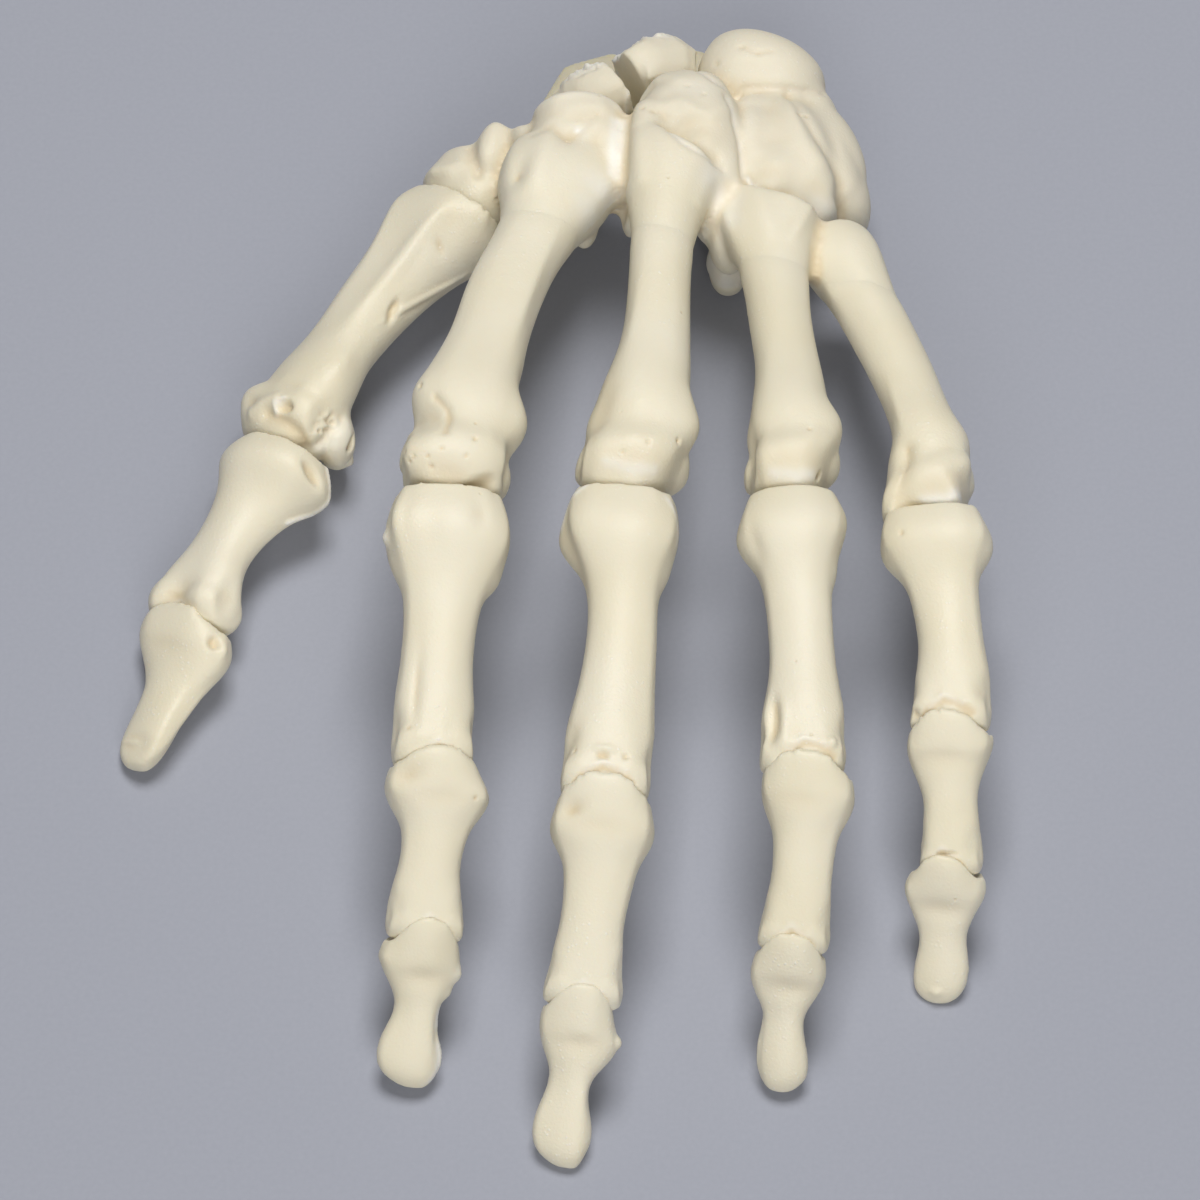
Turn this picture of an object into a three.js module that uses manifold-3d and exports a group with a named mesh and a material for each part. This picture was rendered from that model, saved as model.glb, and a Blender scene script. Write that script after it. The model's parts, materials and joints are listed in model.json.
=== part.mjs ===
// Hand fracture model: the bones of a left hand, palm down, with a broken scaphoid.
// Millimetres. Fingers point to -Y, the thumb to -X, +Z is up, and the model stands on z = 0.
// In a bone's own frame +X runs to the fingertip, +Y to the little finger and +Z to the back
// of the hand, so a positive turn about Y bends the finger.
import * as THREE from 'three';
import { mergeVertices } from 'three/addons/utils/BufferGeometryUtils.js';
import Module from 'manifold-3d';

const wasm = await Module();
wasm.setup();

// Clearances
const seatGap = 0.33;
const jointGap = 0.4;
const cupSideRoom = 1.4;
const boreRoom = 0.35;

// The elastic strand inside each digit, and how far it is bonded into the end bones
const strandRadius = 0.8;
const strandEndGap = 1.0;
const strandInPalm = 18;
const strandInTip = 7;
const strandInTrapezium = 9;

// How far each joint bends from straight, which the strand slots follow
const slotExtend = 3;
const knuckleBend = 75;
const middleBend = 90;
const endBend = 66;

// How far the thumb swings at the wrist, out and in
const thumbSpread = 12;
const thumbClose = 16;

// The table top in the layout below, as a slab that the underside is cut to
const table = { level: 1.5, across: 400, thick: 40 };

// Facets
const shaftSides = 12;
const barrelSides = 12;
const pebbleSides = 12;
const pebbleRings = 7;
const lobeSides = 8;
const lobeRings = 5;
const boreSides = 6;

// Each digit: where the metacarpal starts, how it lies in degrees, and its bones.
// A bone's length runs from joint to joint. rim is how far past the joint its cup starts.
// splay and bend place a bone on the head of the one before it. bow and sway curve its middle
// towards the back of the hand and towards the little finger.
const digits = {
  thumb: {
    at: { x: -18.6, y: 66.6, z: 12.8 },
    yaw: -33.9,
    rise: -2.4,
    roll: 32,
    metacarpal: {
      length: 44.4, rim: 3.4, baseWide: 17.5, baseDeep: 15, waistWide: 10.2, waistDeep: 9,
      endWide: 17, endDeep: 12, headRadius: 6.4, headHalf: 7.4, bow: 0.8,
    },
    proximal: {
      length: 31.1, rim: 5, splay: 6.7, bend: 8.4, baseWide: 15.6, baseDeep: 12.5,
      waistWide: 8.2, waistDeep: 6.8, endWide: 13, endDeep: 8.4, headRadius: 4.7, headHalf: 6.2,
    },
    distal: {
      length: 25.5, rim: 3, splay: 2.5, bend: 4.6, baseWide: 13.4, baseDeep: 8.6,
      waistWide: 8.2, waistDeep: 5, endWide: 9.3, endDeep: 5.2, sway: 0.5,
    },
  },
  index: {
    at: { x: -4.6, y: 68.4, z: 20.7 },
    yaw: -14.6,
    rise: 9.1,
    roll: -6,
    metacarpal: {
      length: 60.6, rim: 0, baseWide: 18.5, baseDeep: 16, waistWide: 9.1, waistDeep: 9,
      endWide: 15.8, endDeep: 12.4, headRadius: 6.8, headHalf: 7.3, bow: 1.4,
    },
    proximal: {
      length: 41.6, rim: 5.4, splay: 14.2, bend: 14, baseWide: 17, baseDeep: 12.4,
      waistWide: 9.6, waistDeep: 6.8, endWide: 11, endDeep: 8.2, headRadius: 4.4, headHalf: 5.2,
    },
    middle: {
      length: 23.3, rim: 3.2, splay: 1.6, bend: 17.3, baseWide: 13.5, baseDeep: 9.2,
      waistWide: 7.6, waistDeep: 5.6, endWide: 10, endDeep: 6.2, headRadius: 3.3, headHalf: 4.7,
    },
    distal: {
      length: 22.5, rim: 2.2, splay: -1.5, bend: 11.6, baseWide: 10.8, baseDeep: 7,
      waistWide: 4.9, waistDeep: 4, endWide: 8.2, endDeep: 4.6,
    },
  },
  middle: {
    at: { x: 10.6, y: 70, z: 23.3 },
    yaw: -5.8,
    rise: 5.5,
    roll: 0,
    metacarpal: {
      length: 59.6, rim: 0, baseWide: 14.8, baseDeep: 15.5, waistWide: 8.4, waistDeep: 9,
      endWide: 15.4, endDeep: 12.6, headRadius: 7, headHalf: 6.8, bow: 1.5,
    },
    proximal: {
      length: 46.5, rim: 5.4, splay: 1, bend: 10, baseWide: 16.5, baseDeep: 12.6,
      waistWide: 9.5, waistDeep: 7, endWide: 12, endDeep: 8.6, headRadius: 4.6, headHalf: 5.6,
    },
    middle: {
      length: 28, rim: 3.2, splay: -0.6, bend: 17, baseWide: 13.7, baseDeep: 9.6,
      waistWide: 8.2, waistDeep: 5.8, endWide: 9.9, endDeep: 6.6, headRadius: 3.5, headHalf: 4.7,
    },
    distal: {
      length: 24.3, rim: 2.2, splay: -2, bend: 11, baseWide: 10.4, baseDeep: 7.2,
      waistWide: 5, waistDeep: 4.2, endWide: 8, endDeep: 4.8,
    },
  },
  ring: {
    at: { x: 24.1, y: 61.7, z: 20.2 },
    yaw: 2.7,
    rise: 9.6,
    roll: 4,
    metacarpal: {
      length: 51.9, rim: 0, baseWide: 14.2, baseDeep: 13.5, waistWide: 8, waistDeep: 8,
      endWide: 13, endDeep: 11.4, headRadius: 6.3, headHalf: 5.9, bow: 1.3,
    },
    proximal: {
      length: 43, rim: 5.2, splay: -2.2, bend: 12.4, baseWide: 15, baseDeep: 11.6,
      waistWide: 8.9, waistDeep: 6.6, endWide: 11.2, endDeep: 8, headRadius: 4.3, headHalf: 5.2,
    },
    middle: {
      length: 23.9, rim: 3.2, splay: -8, bend: 20, baseWide: 12.2, baseDeep: 8.8,
      waistWide: 7.6, waistDeep: 5.4, endWide: 9.8, endDeep: 6.2, headRadius: 3.3, headHalf: 4.6,
    },
    distal: {
      length: 20.8, rim: 2.2, splay: -2.2, bend: 17.5, baseWide: 9.6, baseDeep: 6.8,
      waistWide: 4.7, waistDeep: 3.9, endWide: 6.9, endDeep: 4.4,
    },
  },
  little: {
    at: { x: 33.6, y: 55.8, z: 18.6 },
    yaw: 15.5,
    rise: 9,
    roll: 8,
    metacarpal: {
      length: 48.9, rim: 0, baseWide: 12.8, baseDeep: 12.5, waistWide: 8.8, waistDeep: 7.6,
      endWide: 12, endDeep: 10.4, headRadius: 5.8, headHalf: 5.5, bow: 1.1,
      sway: 1.1,
    },
    proximal: {
      length: 33.5, rim: 4.8, splay: -17.2, bend: 11.6, baseWide: 14.9, baseDeep: 10.8,
      waistWide: 8.5, waistDeep: 6, endWide: 10.4, endDeep: 7.2, headRadius: 3.9, headHalf: 4.9,
    },
    middle: {
      length: 19.4, rim: 2.8, splay: -5.8, bend: 19.6, baseWide: 10.9, baseDeep: 8,
      waistWide: 6.9, waistDeep: 5, endWide: 8.5, endDeep: 5.6, headRadius: 2.9, headHalf: 4,
    },
    distal: {
      length: 19.3, rim: 2, splay: -4.4, bend: 15.6, baseWide: 9.8, baseDeep: 6.4,
      waistWide: 5.6, waistDeep: 4, endWide: 7.3, endDeep: 4.2,
    },
  },
};

// How each kind of bone swells along its length. Spots and peaks are shares of the length,
// above and below are shares of the depth, and square is the squareness of the outline.
const metacarpalForm = {
  spots: [0, 0.03, 0.1, 0.18, 0.27, 0.38, 0.5, 0.62, 0.72, 0.8, 0.88, 1],
  base: { peak: 0.06, before: 0.07, after: 0.17, above: 0.4, below: 0.6, square: 0.6 },
  end: { peak: 0.86, before: 0.14, after: 0.13, above: 0.6, below: 0.3, square: 0.4 },
  above: 0.5, below: 0.5, square: 2, behindRim: 1.6, lip: 1, droop: 0, closeFrom: 1,
};
const phalanxForm = {
  spots: [0, 0.03, 0.09, 0.16, 0.23, 0.31, 0.41, 0.55, 0.69, 0.8, 0.89, 1],
  base: { peak: 0.18, before: 0.2, after: 0.15, above: 0.5, below: 0.5, square: 0.5 },
  end: { peak: 0.9, before: 0.16, after: 0.14, above: 0.5, below: 0.2, square: 0 },
  above: 0.52, below: 0.48, square: 2.2, behindRim: 1.4, lip: 0.72, bow: 0.5, droop: 0, closeFrom: 1,
};
const tipForm = {
  spots: [0, 0.04, 0.11, 0.19, 0.27, 0.36, 0.47, 0.58, 0.69, 0.8, 0.89, 0.95, 0.985],
  base: { peak: 0.19, before: 0.19, after: 0.14, above: 0.48, below: 0.52, square: 0 },
  end: { peak: 0.82, before: 0.2, after: 0.3, above: 0.48, below: 0.52, square: 0 },
  above: 0.48, below: 0.52, square: 2.3, behindRim: 1.2, lip: 0.74, bow: 0, droop: 0.3,
  closeFrom: 0.82,
};

// Knuckle lobes on the palm side, as shares of the head's radius and half width
const lobe = { radius: 0.56, side: 0.6, drop: 0.36, back: 1.4 };

// Wrist bones: centre, half sizes, turn about Z in degrees, and squareness
const wrist = {
  capitate: { x: 13, y: 71.5, z: 18.5, wide: 8.2, long: 12, deep: 10.5, turn: 4, power: 2.6 },
  trapezoid: { x: -3, y: 71.8, z: 19, wide: 7.6, long: 6.4, deep: 9.4, turn: -8, power: 2.6 },
  trapezium: { x: -18.4, y: 68.6, z: 11.4, wide: 7.8, long: 6.2, deep: 8, turn: -30, power: 2.5 },
  hamate: { x: 26.9, y: 68, z: 16.5, wide: 8.2, long: 11.8, deep: 9, turn: 10, power: 2.6 },
  lunate: { x: 23.8, y: 85.4, z: 15, wide: 10.4, long: 7.6, deep: 8.8, turn: -18, power: 2.4 },
  triquetrum: { x: 32.2, y: 71.6, z: 13.8, wide: 6, long: 10.6, deep: 7.8, turn: 20, power: 2.4 },
  scaphoidProximal: { x: 2.8, y: 83.6, z: 16, wide: 13.6, long: 6.9, deep: 7.2, turn: 27, power: 2.3 },
  scaphoidDistal: { x: 0.2, y: 82.2, z: 15.6, wide: 7.4, long: 5.2, deep: 6.8, turn: 27, power: 2.4 },
  pisiform: { x: 33.6, y: 70.5, z: 6.6, wide: 5.4, long: 6.2, deep: 5.6, turn: 0, power: 2.2 },
};
const trapeziumSaddle = { radius: 6.4, half: 6.8 };
const trapeziumCrest = { x: -14.4, y: 72, z: 16.2, wide: 3, long: 3.2, deep: 4.6 };
const capitateFoot = { x: 17, y: 64.5, z: 20, wide: 4.6, long: 6.5, deep: 7.4 };
const thirdStyloid = { x: 8.2, y: 73.4, z: 25.4, wide: 4.2, long: 5.2, deep: 4 };
const hamateHook = [
  { x: 22.6, y: 62.6, z: 10.4, wide: 3.8, long: 4.6, deep: 5.6 },
  { x: 18.6, y: 59.4, z: 7, wide: 3, long: 4.4, deep: 4.6 },
];

// The break across the scaphoid: where it crosses, its gap, its teeth, and how far it can close
const fracture = { at: 0.6, slant: 12, width: 1.5, step: 1.3, teeth: 6, margin: 4, reach: 30 };
const reduceTravel = 1;

// The clear backing under the scaphoid and lunate
const backing = { left: -9.5, width: 26.5, near: 80, long: 15, rise: 4, bottom: 5.5, thick: 6.5, corner: 4 };

// Sesamoids under the thumb knuckle, in the thumb metacarpal's frame from the joint
const sesamoids = {
  inner: { back: -3.4, side: 4.6, drop: -6.8, long: 3.6, wide: 3, deep: 2.7 },
  outer: { back: -3.4, side: -4.8, drop: -5.8, long: 3.1, wide: 2.5, deep: 2.2 },
};

const castBone = { color: 0xece4cb, roughness: 0.5, metalness: 0 };
const wristBone = { color: 0xf0ebda, roughness: 0.55, metalness: 0 };
const clearResin = { color: 0xcfc598, roughness: 0.35, metalness: 0 };
const elastic = { color: 0xf4f1e6, roughness: 0.6, metalness: 0 };

// Solids: joining and cutting closed meshes
function bareMesh(geometry) {
  const bare = geometry.clone();
  bare.deleteAttribute('normal');
  bare.deleteAttribute('uv');
  const merged = mergeVertices(bare, 1e-4);
  const corners = [];
  for (let i = 0; i < merged.index.count; i += 3) {
    const [a, b, c] = [merged.index.getX(i), merged.index.getX(i + 1), merged.index.getX(i + 2)];
    if (a !== b && b !== c && a !== c) corners.push(a, b, c);
  }
  merged.setIndex(corners);
  return merged;
}

function solidOf(geometry) {
  const bare = bareMesh(geometry);
  return new wasm.Manifold(new wasm.Mesh({
    numProp: 3,
    vertProperties: Float32Array.from(bare.attributes.position.array),
    triVerts: Uint32Array.from(bare.index.array),
  }));
}

function swollen(geometry, gap) {
  const bare = bareMesh(geometry);
  bare.computeVertexNormals();
  const place = bare.attributes.position;
  const normal = bare.attributes.normal;
  for (let i = 0; i < place.count; i += 1) {
    place.setXYZ(
      i,
      place.getX(i) + normal.getX(i) * gap,
      place.getY(i) + normal.getY(i) * gap,
      place.getZ(i) + normal.getZ(i) * gap,
    );
  }
  return bare;
}

function joined(geometries) {
  return geometries.map(solidOf).reduce((whole, next) => whole.add(next));
}

function geometryOf(solid) {
  const mesh = solid.getMesh();
  const geometry = new THREE.BufferGeometry();
  geometry.setAttribute('position', new THREE.BufferAttribute(mesh.vertProperties, 3));
  geometry.setIndex(new THREE.BufferAttribute(mesh.triVerts, 1));
  const flat = geometry.toNonIndexed();
  flat.computeVertexNormals();
  return flat;
}

// Shapes
const power = (value, exponent) => Math.sign(value) * Math.abs(value) ** exponent;

function flare(at, { peak, before, after }) {
  const reach = at < peak ? before : after;
  return Math.exp(-(((at - peak) / reach) ** 2));
}

// A closed skin through oval sections along X
function loft(sections) {
  const points = [];
  const faces = [];
  for (const section of sections) {
    for (let k = 0; k < shaftSides; k += 1) {
      const angle = (2 * Math.PI * k) / shaftSides;
      const side = power(Math.cos(angle), 2 / section.power);
      const lift = power(Math.sin(angle), 2 / section.power);
      const height = lift > 0 ? section.top : section.bottom;
      points.push(section.x, section.y + (side * section.wide) / 2, section.z + lift * height);
    }
  }
  const last = sections.length - 1;
  for (let i = 0; i < last; i += 1) {
    for (let k = 0; k < shaftSides; k += 1) {
      const a = i * shaftSides + k;
      const b = i * shaftSides + ((k + 1) % shaftSides);
      faces.push(a, b, b + shaftSides, a, b + shaftSides, a + shaftSides);
    }
  }
  const start = points.length / 3;
  points.push(sections[0].x, sections[0].y, sections[0].z);
  points.push(sections[last].x, sections[last].y, sections[last].z);
  for (let k = 0; k < shaftSides; k += 1) {
    const next = (k + 1) % shaftSides;
    faces.push(start, next, k);
    faces.push(start + 1, last * shaftSides + k, last * shaftSides + next);
  }
  const geometry = new THREE.BufferGeometry();
  geometry.setAttribute('position', new THREE.Float32BufferAttribute(points, 3));
  geometry.setIndex(faces);
  return geometry;
}

// A rounded drum about Y, with an optional groove round its middle
function barrel(radius, half, groove = 0) {
  const steps = 6;
  const profile = [];
  for (let i = 0; i <= steps; i += 1) {
    const angle = -Math.PI / 2 + (Math.PI * i) / steps;
    const side = half * power(Math.sin(angle), 0.72);
    const waist = 1 - groove * Math.exp(-((side / (0.42 * half)) ** 2));
    const reach = i === 0 || i === steps ? 0 : radius * Math.cos(angle) ** 0.62 * waist;
    profile.push(new THREE.Vector2(reach, side));
  }
  return new THREE.LatheGeometry(profile, barrelSides);
}

// A rounded block with its long side turned about Z
function pebble({ x, y, z, wide, long, deep, turn = 0, power: square = 2.2 }) {
  const geometry = bareMesh(new THREE.SphereGeometry(1, pebbleSides, pebbleRings));
  const place = geometry.attributes.position;
  for (let i = 0; i < place.count; i += 1) {
    const flat = Math.hypot(place.getX(i), place.getZ(i));
    const [u, v] = flat > 1e-6 ? [place.getX(i) / flat, place.getZ(i) / flat] : [0, 0];
    const ring = power(flat, 2 / square);
    place.setXYZ(
      i,
      wide * ring * power(u, 2 / square),
      -long * ring * power(v, 2 / square),
      deep * power(place.getY(i), 2 / square),
    );
  }
  geometry.rotateZ(THREE.MathUtils.degToRad(turn));
  geometry.translate(x, y, z);
  return geometry;
}

// A straight round bar along X
function bar(radius, from, to) {
  const geometry = new THREE.CylinderGeometry(radius, radius, to - from, boreSides);
  geometry.rotateZ(-Math.PI / 2);
  geometry.translate((from + to) / 2, 0, 0);
  return geometry;
}

// The fan-shaped slot in a head that lets the strand swing from one bend angle to another
function strandSlot(radius, from, to) {
  const room = strandRadius + boreRoom;
  const reach = radius + 2;
  const steps = 3;
  const at = (angle, distance, across) => new THREE.Vector2(
    distance * Math.cos(angle) - across * Math.sin(angle),
    distance * Math.sin(angle) + across * Math.cos(angle),
  );
  const first = THREE.MathUtils.degToRad(-from);
  const last = THREE.MathUtils.degToRad(-to);
  const outline = [at(first, reach, room)];
  for (let i = 0; i <= steps; i += 1) outline.push(at(first + ((last - first) * i) / steps, reach, 0));
  outline.push(at(last, reach, -room), at(last, 0, -room), at((first + last) / 2, -room, 0));
  outline.push(at(first, 0, room));
  const geometry = new THREE.ExtrudeGeometry(new THREE.Shape(outline), {
    depth: 2 * room,
    bevelEnabled: false,
  });
  geometry.translate(0, 0, -room);
  geometry.rotateX(Math.PI / 2);
  return geometry;
}

// A bone's shaft: a waist with a swelling towards each end
function shaft(bone, form) {
  const start = bone.rim > 0 ? bone.rim - form.behindRim : 0;
  const baseSpread = { wide: bone.baseWide - bone.waistWide, deep: bone.baseDeep - bone.waistDeep };
  const endSpread = { wide: bone.endWide - bone.waistWide, deep: bone.endDeep - bone.waistDeep };
  const sections = form.spots.map((at) => {
    const base = flare(at, form.base);
    const end = flare(at, form.end);
    const past = Math.max(0, at - form.closeFrom) / (1 - form.closeFrom || 1);
    const size = Math.sqrt(1 - past ** 2) * (at === 0 ? form.lip : 1);
    const height = (side) => form[side] * bone.waistDeep
      + form.base[side] * baseSpread.deep * base + form.end[side] * endSpread.deep * end;
    return {
      x: start + (bone.length - start) * at,
      y: (bone.sway ?? 0) * Math.sin(Math.PI * at),
      z: (bone.bow ?? form.bow) * Math.sin(Math.PI * at) - form.droop * at,
      wide: (bone.waistWide + baseSpread.wide * base + endSpread.wide * end) * size,
      top: height('above') * size,
      bottom: height('below') * size,
      power: form.square + form.base.square * base + form.end.square * end,
    };
  });
  return loft(sections);
}

// The two lobes on the palm side of a knuckle
function knuckleLobes(bone) {
  return [-1, 1].map((side) => {
    const ball = new THREE.SphereGeometry(lobe.radius * bone.headRadius, lobeSides, lobeRings);
    const drop = lobe.drop * bone.headRadius;
    ball.translate(bone.length - lobe.back, side * lobe.side * bone.headHalf, -drop);
    return ball;
  });
}

// Placing pieces
const hand = new THREE.Group();
hand.name = 'hand_fracture_model';
const palm = new THREE.Group();
hand.add(palm);

const slab = new THREE.BoxGeometry(table.across, table.across, table.thick);
slab.translate(0, 0, table.level - table.thick / 2);
const belowTable = solidOf(slab);

const swollenPiece = new Map();

function inWorld(solid, holder) {
  holder.updateWorldMatrix(true, false);
  return solid.transform(holder.matrixWorld.elements);
}

function addPiece(name, holder, look, geometries, fit = {}) {
  const { beside = [], sweeps = [], seats = [], cuts = [], keep = null } = fit;
  let solid = inWorld(joined(geometries), holder);
  for (const other of beside) solid = solid.subtract(swollenPiece.get(other));
  for (const sweep of sweeps) solid = solid.subtract(sweep);
  for (const seat of seats) solid = solid.add(seat);
  for (const cut of cuts) solid = solid.subtract(cut);
  if (keep) solid = solid.intersect(keep);
  solid = solid.subtract(belowTable);
  solid = solid.decompose().sort((a, b) => b.volume() - a.volume())[0];
  swollenPiece.set(name, inWorld(joined(geometries.map((g) => swollen(g, seatGap))), holder));
  const back = holder.matrixWorld.clone().invert();
  const mesh = new THREE.Mesh(
    geometryOf(solid.transform(back.elements)),
    new THREE.MeshStandardMaterial(look),
  );
  mesh.name = name;
  holder.add(mesh);
  return mesh;
}

// Frames: a palm bone's, and the next bone's on a head
function boneFrame(holder, at, yaw, rise, roll) {
  const frame = new THREE.Group();
  frame.position.set(at.x, at.y, at.z);
  const turn = THREE.MathUtils.degToRad;
  frame.rotation.set(turn(roll), turn(-rise), turn(yaw - 90), 'ZYX');
  holder.add(frame);
  return frame;
}

function nextFrame(frame, bone, next, name) {
  const head = new THREE.Group();
  head.name = name;
  head.position.set(bone.length, 0, 0);
  head.rotation.set(0, 0, THREE.MathUtils.degToRad(next.splay));
  frame.add(head);
  const swing = new THREE.Group();
  swing.rotation.set(0, THREE.MathUtils.degToRad(next.bend), 0);
  head.add(swing);
  return { head, swing };
}

const groove = { metacarpal: 0, proximal: 0.1, middle: 0.1 };
const bendOf = { proximal: knuckleBend, middle: middleBend, distal: endBend };

// All frames first, because the bones are cut against each other in place
const frames = {};
const hinges = {};
for (const [digit, layout] of Object.entries(digits)) {
  const names = Object.keys(layout).filter((key) => layout[key].length);
  const palmFrame = boneFrame(palm, layout.at, layout.yaw, layout.rise, layout.roll);
  frames[digit] = { metacarpal: palmFrame };
  hinges[digit] = {};
  if (digit === 'thumb') {
    palmFrame.name = 'thumb_metacarpal_hinge';
    hinges.thumb.metacarpal = palmFrame;
    frames.thumb.metacarpal = new THREE.Group();
    palmFrame.add(frames.thumb.metacarpal);
  }
  for (let i = 1; i < names.length; i += 1) {
    const name = `${digit}_${names[i]}_hinge`;
    const step = nextFrame(frames[digit][names[i - 1]], layout[names[i - 1]], layout[names[i]], name);
    frames[digit][names[i]] = step.swing;
    hinges[digit][names[i]] = step.head;
  }
}

function headBarrel(bone, kind, splay) {
  const geometry = barrel(bone.headRadius, bone.headHalf, groove[kind]);
  geometry.rotateZ(THREE.MathUtils.degToRad(splay));
  geometry.translate(bone.length, 0, 0);
  return geometry;
}

// The cup that a head turns in, cut in the frame of its hinge
function cupCut(bone, kind, hinge) {
  const radius = bone.headRadius + jointGap;
  const shape = barrel(radius, bone.headHalf + cupSideRoom, groove[kind] * 0.8);
  return inWorld(solidOf(shape), hinge);
}

function slotCut(bone, hinge, bend) {
  return inWorld(solidOf(strandSlot(bone.headRadius, -slotExtend, bend)), hinge);
}

const bore = strandRadius + boreRoom;

// The palm: the middle finger's bone goes in first and its neighbours are cut to fit it
const palmOrder = [
  { digit: 'middle', beside: [] },
  { digit: 'index', beside: ['middle_metacarpal', 'trapezoid'] },
  { digit: 'ring', beside: ['middle_metacarpal', 'capitate', 'hamate'] },
  { digit: 'little', beside: ['ring_metacarpal', 'hamate', 'triquetrum'] },
];

function addPalmBone({ digit, beside }) {
  const bone = digits[digit].metacarpal;
  const next = digits[digit].proximal;
  const frame = frames[digit].metacarpal;
  const forms = [
    shaft(bone, metacarpalForm),
    headBarrel(bone, 'metacarpal', next.splay),
    ...knuckleLobes(bone),
  ];
  if (digit === 'middle') {
    const styloid = pebble(thirdStyloid);
    frame.updateWorldMatrix(true, false);
    styloid.applyMatrix4(frame.matrixWorld.clone().invert());
    forms.push(styloid);
  }
  const blind = bar(bore, bone.length - strandInPalm - seatGap, bone.length + 0.01);
  const cuts = [inWorld(solidOf(blind), frame), slotCut(bone, hinges[digit].proximal, knuckleBend)];
  addPiece(`${digit}_metacarpal`, frame, castBone, forms, { beside, cuts });
}

function addWristBone(name, beside, { extra = [], from = name, ...fit } = {}) {
  const forms = [pebble(wrist[from]), ...extra];
  addPiece(name, palm, wristBone, forms, { beside, ...fit });
}

addPalmBone(palmOrder[0]);
addWristBone('capitate', ['middle_metacarpal'], { extra: [pebble(capitateFoot)] });
addWristBone('trapezoid', ['middle_metacarpal', 'capitate']);
addPalmBone(palmOrder[1]);

// The trapezium carries the saddle that the thumb turns on, and is cut back where the thumb swings
const thumbFrame = frames.thumb.metacarpal;
const saddle = barrel(trapeziumSaddle.radius, trapeziumSaddle.half);
const thumbAnchor = inWorld(solidOf(bar(bore, -strandInTrapezium - seatGap, 0.01)), thumbFrame);
const thumbSlot = strandSlot(trapeziumSaddle.radius, -thumbSpread, thumbClose);
const thumbSweeps = [-thumbSpread, thumbClose].map((angle) => {
  const base = swollen(shaft(digits.thumb.metacarpal, metacarpalForm), jointGap);
  base.rotateY(THREE.MathUtils.degToRad(angle));
  return inWorld(solidOf(base), thumbFrame);
});
addWristBone('trapezium', ['trapezoid', 'index_metacarpal'], {
  extra: [pebble(trapeziumCrest)],
  sweeps: thumbSweeps,
  seats: [inWorld(solidOf(saddle), thumbFrame).subtract(swollenPiece.get('index_metacarpal'))],
  cuts: [thumbAnchor, inWorld(solidOf(thumbSlot), thumbFrame)],
});

addWristBone('hamate', ['middle_metacarpal', 'capitate'], { extra: hamateHook.map(pebble) });
addPalmBone(palmOrder[2]);
addWristBone('lunate', ['capitate', 'hamate']);
addWristBone('triquetrum', ['hamate', 'lunate', 'capitate']);
addPalmBone(palmOrder[3]);
addWristBone('pisiform', ['triquetrum', 'hamate']);

// The two halves of the broken scaphoid, either side of a toothed gap across its waist
function breakRegion(side) {
  const { x, y, z, long, turn } = wrist.scaphoidProximal;
  const { width, step, teeth, margin, reach } = fracture;
  const shape = new THREE.Shape();
  const edge = side * (width / 2);
  const pitch = (2 * long + margin) / teeth;
  const first = -(teeth / 2) * pitch;
  shape.moveTo(side * reach, first);
  shape.lineTo(edge, first);
  for (let i = 1; i <= teeth; i += 1) {
    shape.lineTo(edge + (i % 2 ? step : 0), first + i * pitch);
  }
  shape.lineTo(side * reach, -first);
  const region = new THREE.ExtrudeGeometry(shape, { depth: 2 * reach, bevelEnabled: false });
  region.translate(fracture.at, 0, -reach);
  region.rotateY(THREE.MathUtils.degToRad(fracture.slant));
  region.rotateZ(THREE.MathUtils.degToRad(turn));
  region.translate(x, y, z);
  return solidOf(region);
}

const reduceTurn = THREE.MathUtils.degToRad(wrist.scaphoidProximal.turn);
const reduceAxis = new THREE.Vector3(-Math.cos(reduceTurn), -Math.sin(reduceTurn), 0);
const scaphoidNeighbours = ['capitate', 'trapezoid', 'trapezium', 'lunate'];
const alongTravel = (solid, distance) => solid.translate(
  reduceAxis.x * distance,
  reduceAxis.y * distance,
  reduceAxis.z * distance,
);

addWristBone('scaphoid_distal_fragment', scaphoidNeighbours, {
  from: 'scaphoidDistal',
  keep: breakRegion(-1),
});
const slideFrame = new THREE.Group();
slideFrame.name = 'scaphoid_slide';
palm.add(slideFrame);
const travelCuts = ['capitate', 'trapezoid'].map(
  (name) => alongTravel(swollenPiece.get(name), -reduceTravel),
);
addPiece('scaphoid_proximal_fragment', slideFrame, wristBone, [pebble(wrist.scaphoidProximal)], {
  beside: scaphoidNeighbours,
  cuts: travelCuts,
  keep: breakRegion(1),
});

// The backing, with a bed for each bone that lies on it
function backingShape() {
  const { left, near, rise, corner } = backing;
  const right = left + backing.width;
  const far = near + backing.long;
  const shape = new THREE.Shape();
  shape.moveTo(left, near);
  shape.lineTo(left, far - rise - corner);
  shape.lineTo(left + corner, far - rise);
  shape.lineTo(right - corner, far);
  shape.quadraticCurveTo(right, far, right, far - corner);
  shape.lineTo(right, near);
  shape.closePath();
  const body = new THREE.ExtrudeGeometry(shape, { depth: backing.thick, bevelEnabled: false });
  body.translate(0, 0, backing.bottom);
  return body;
}

const scaphoidRoom = swollenPiece.get('scaphoid_proximal_fragment');
addPiece('carpal_backing', palm, clearResin, [backingShape()], {
  beside: ['capitate', 'trapezoid', 'trapezium', 'lunate', 'scaphoid_distal_fragment'],
  cuts: [scaphoidRoom, alongTravel(scaphoidRoom, reduceTravel)],
});

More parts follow.
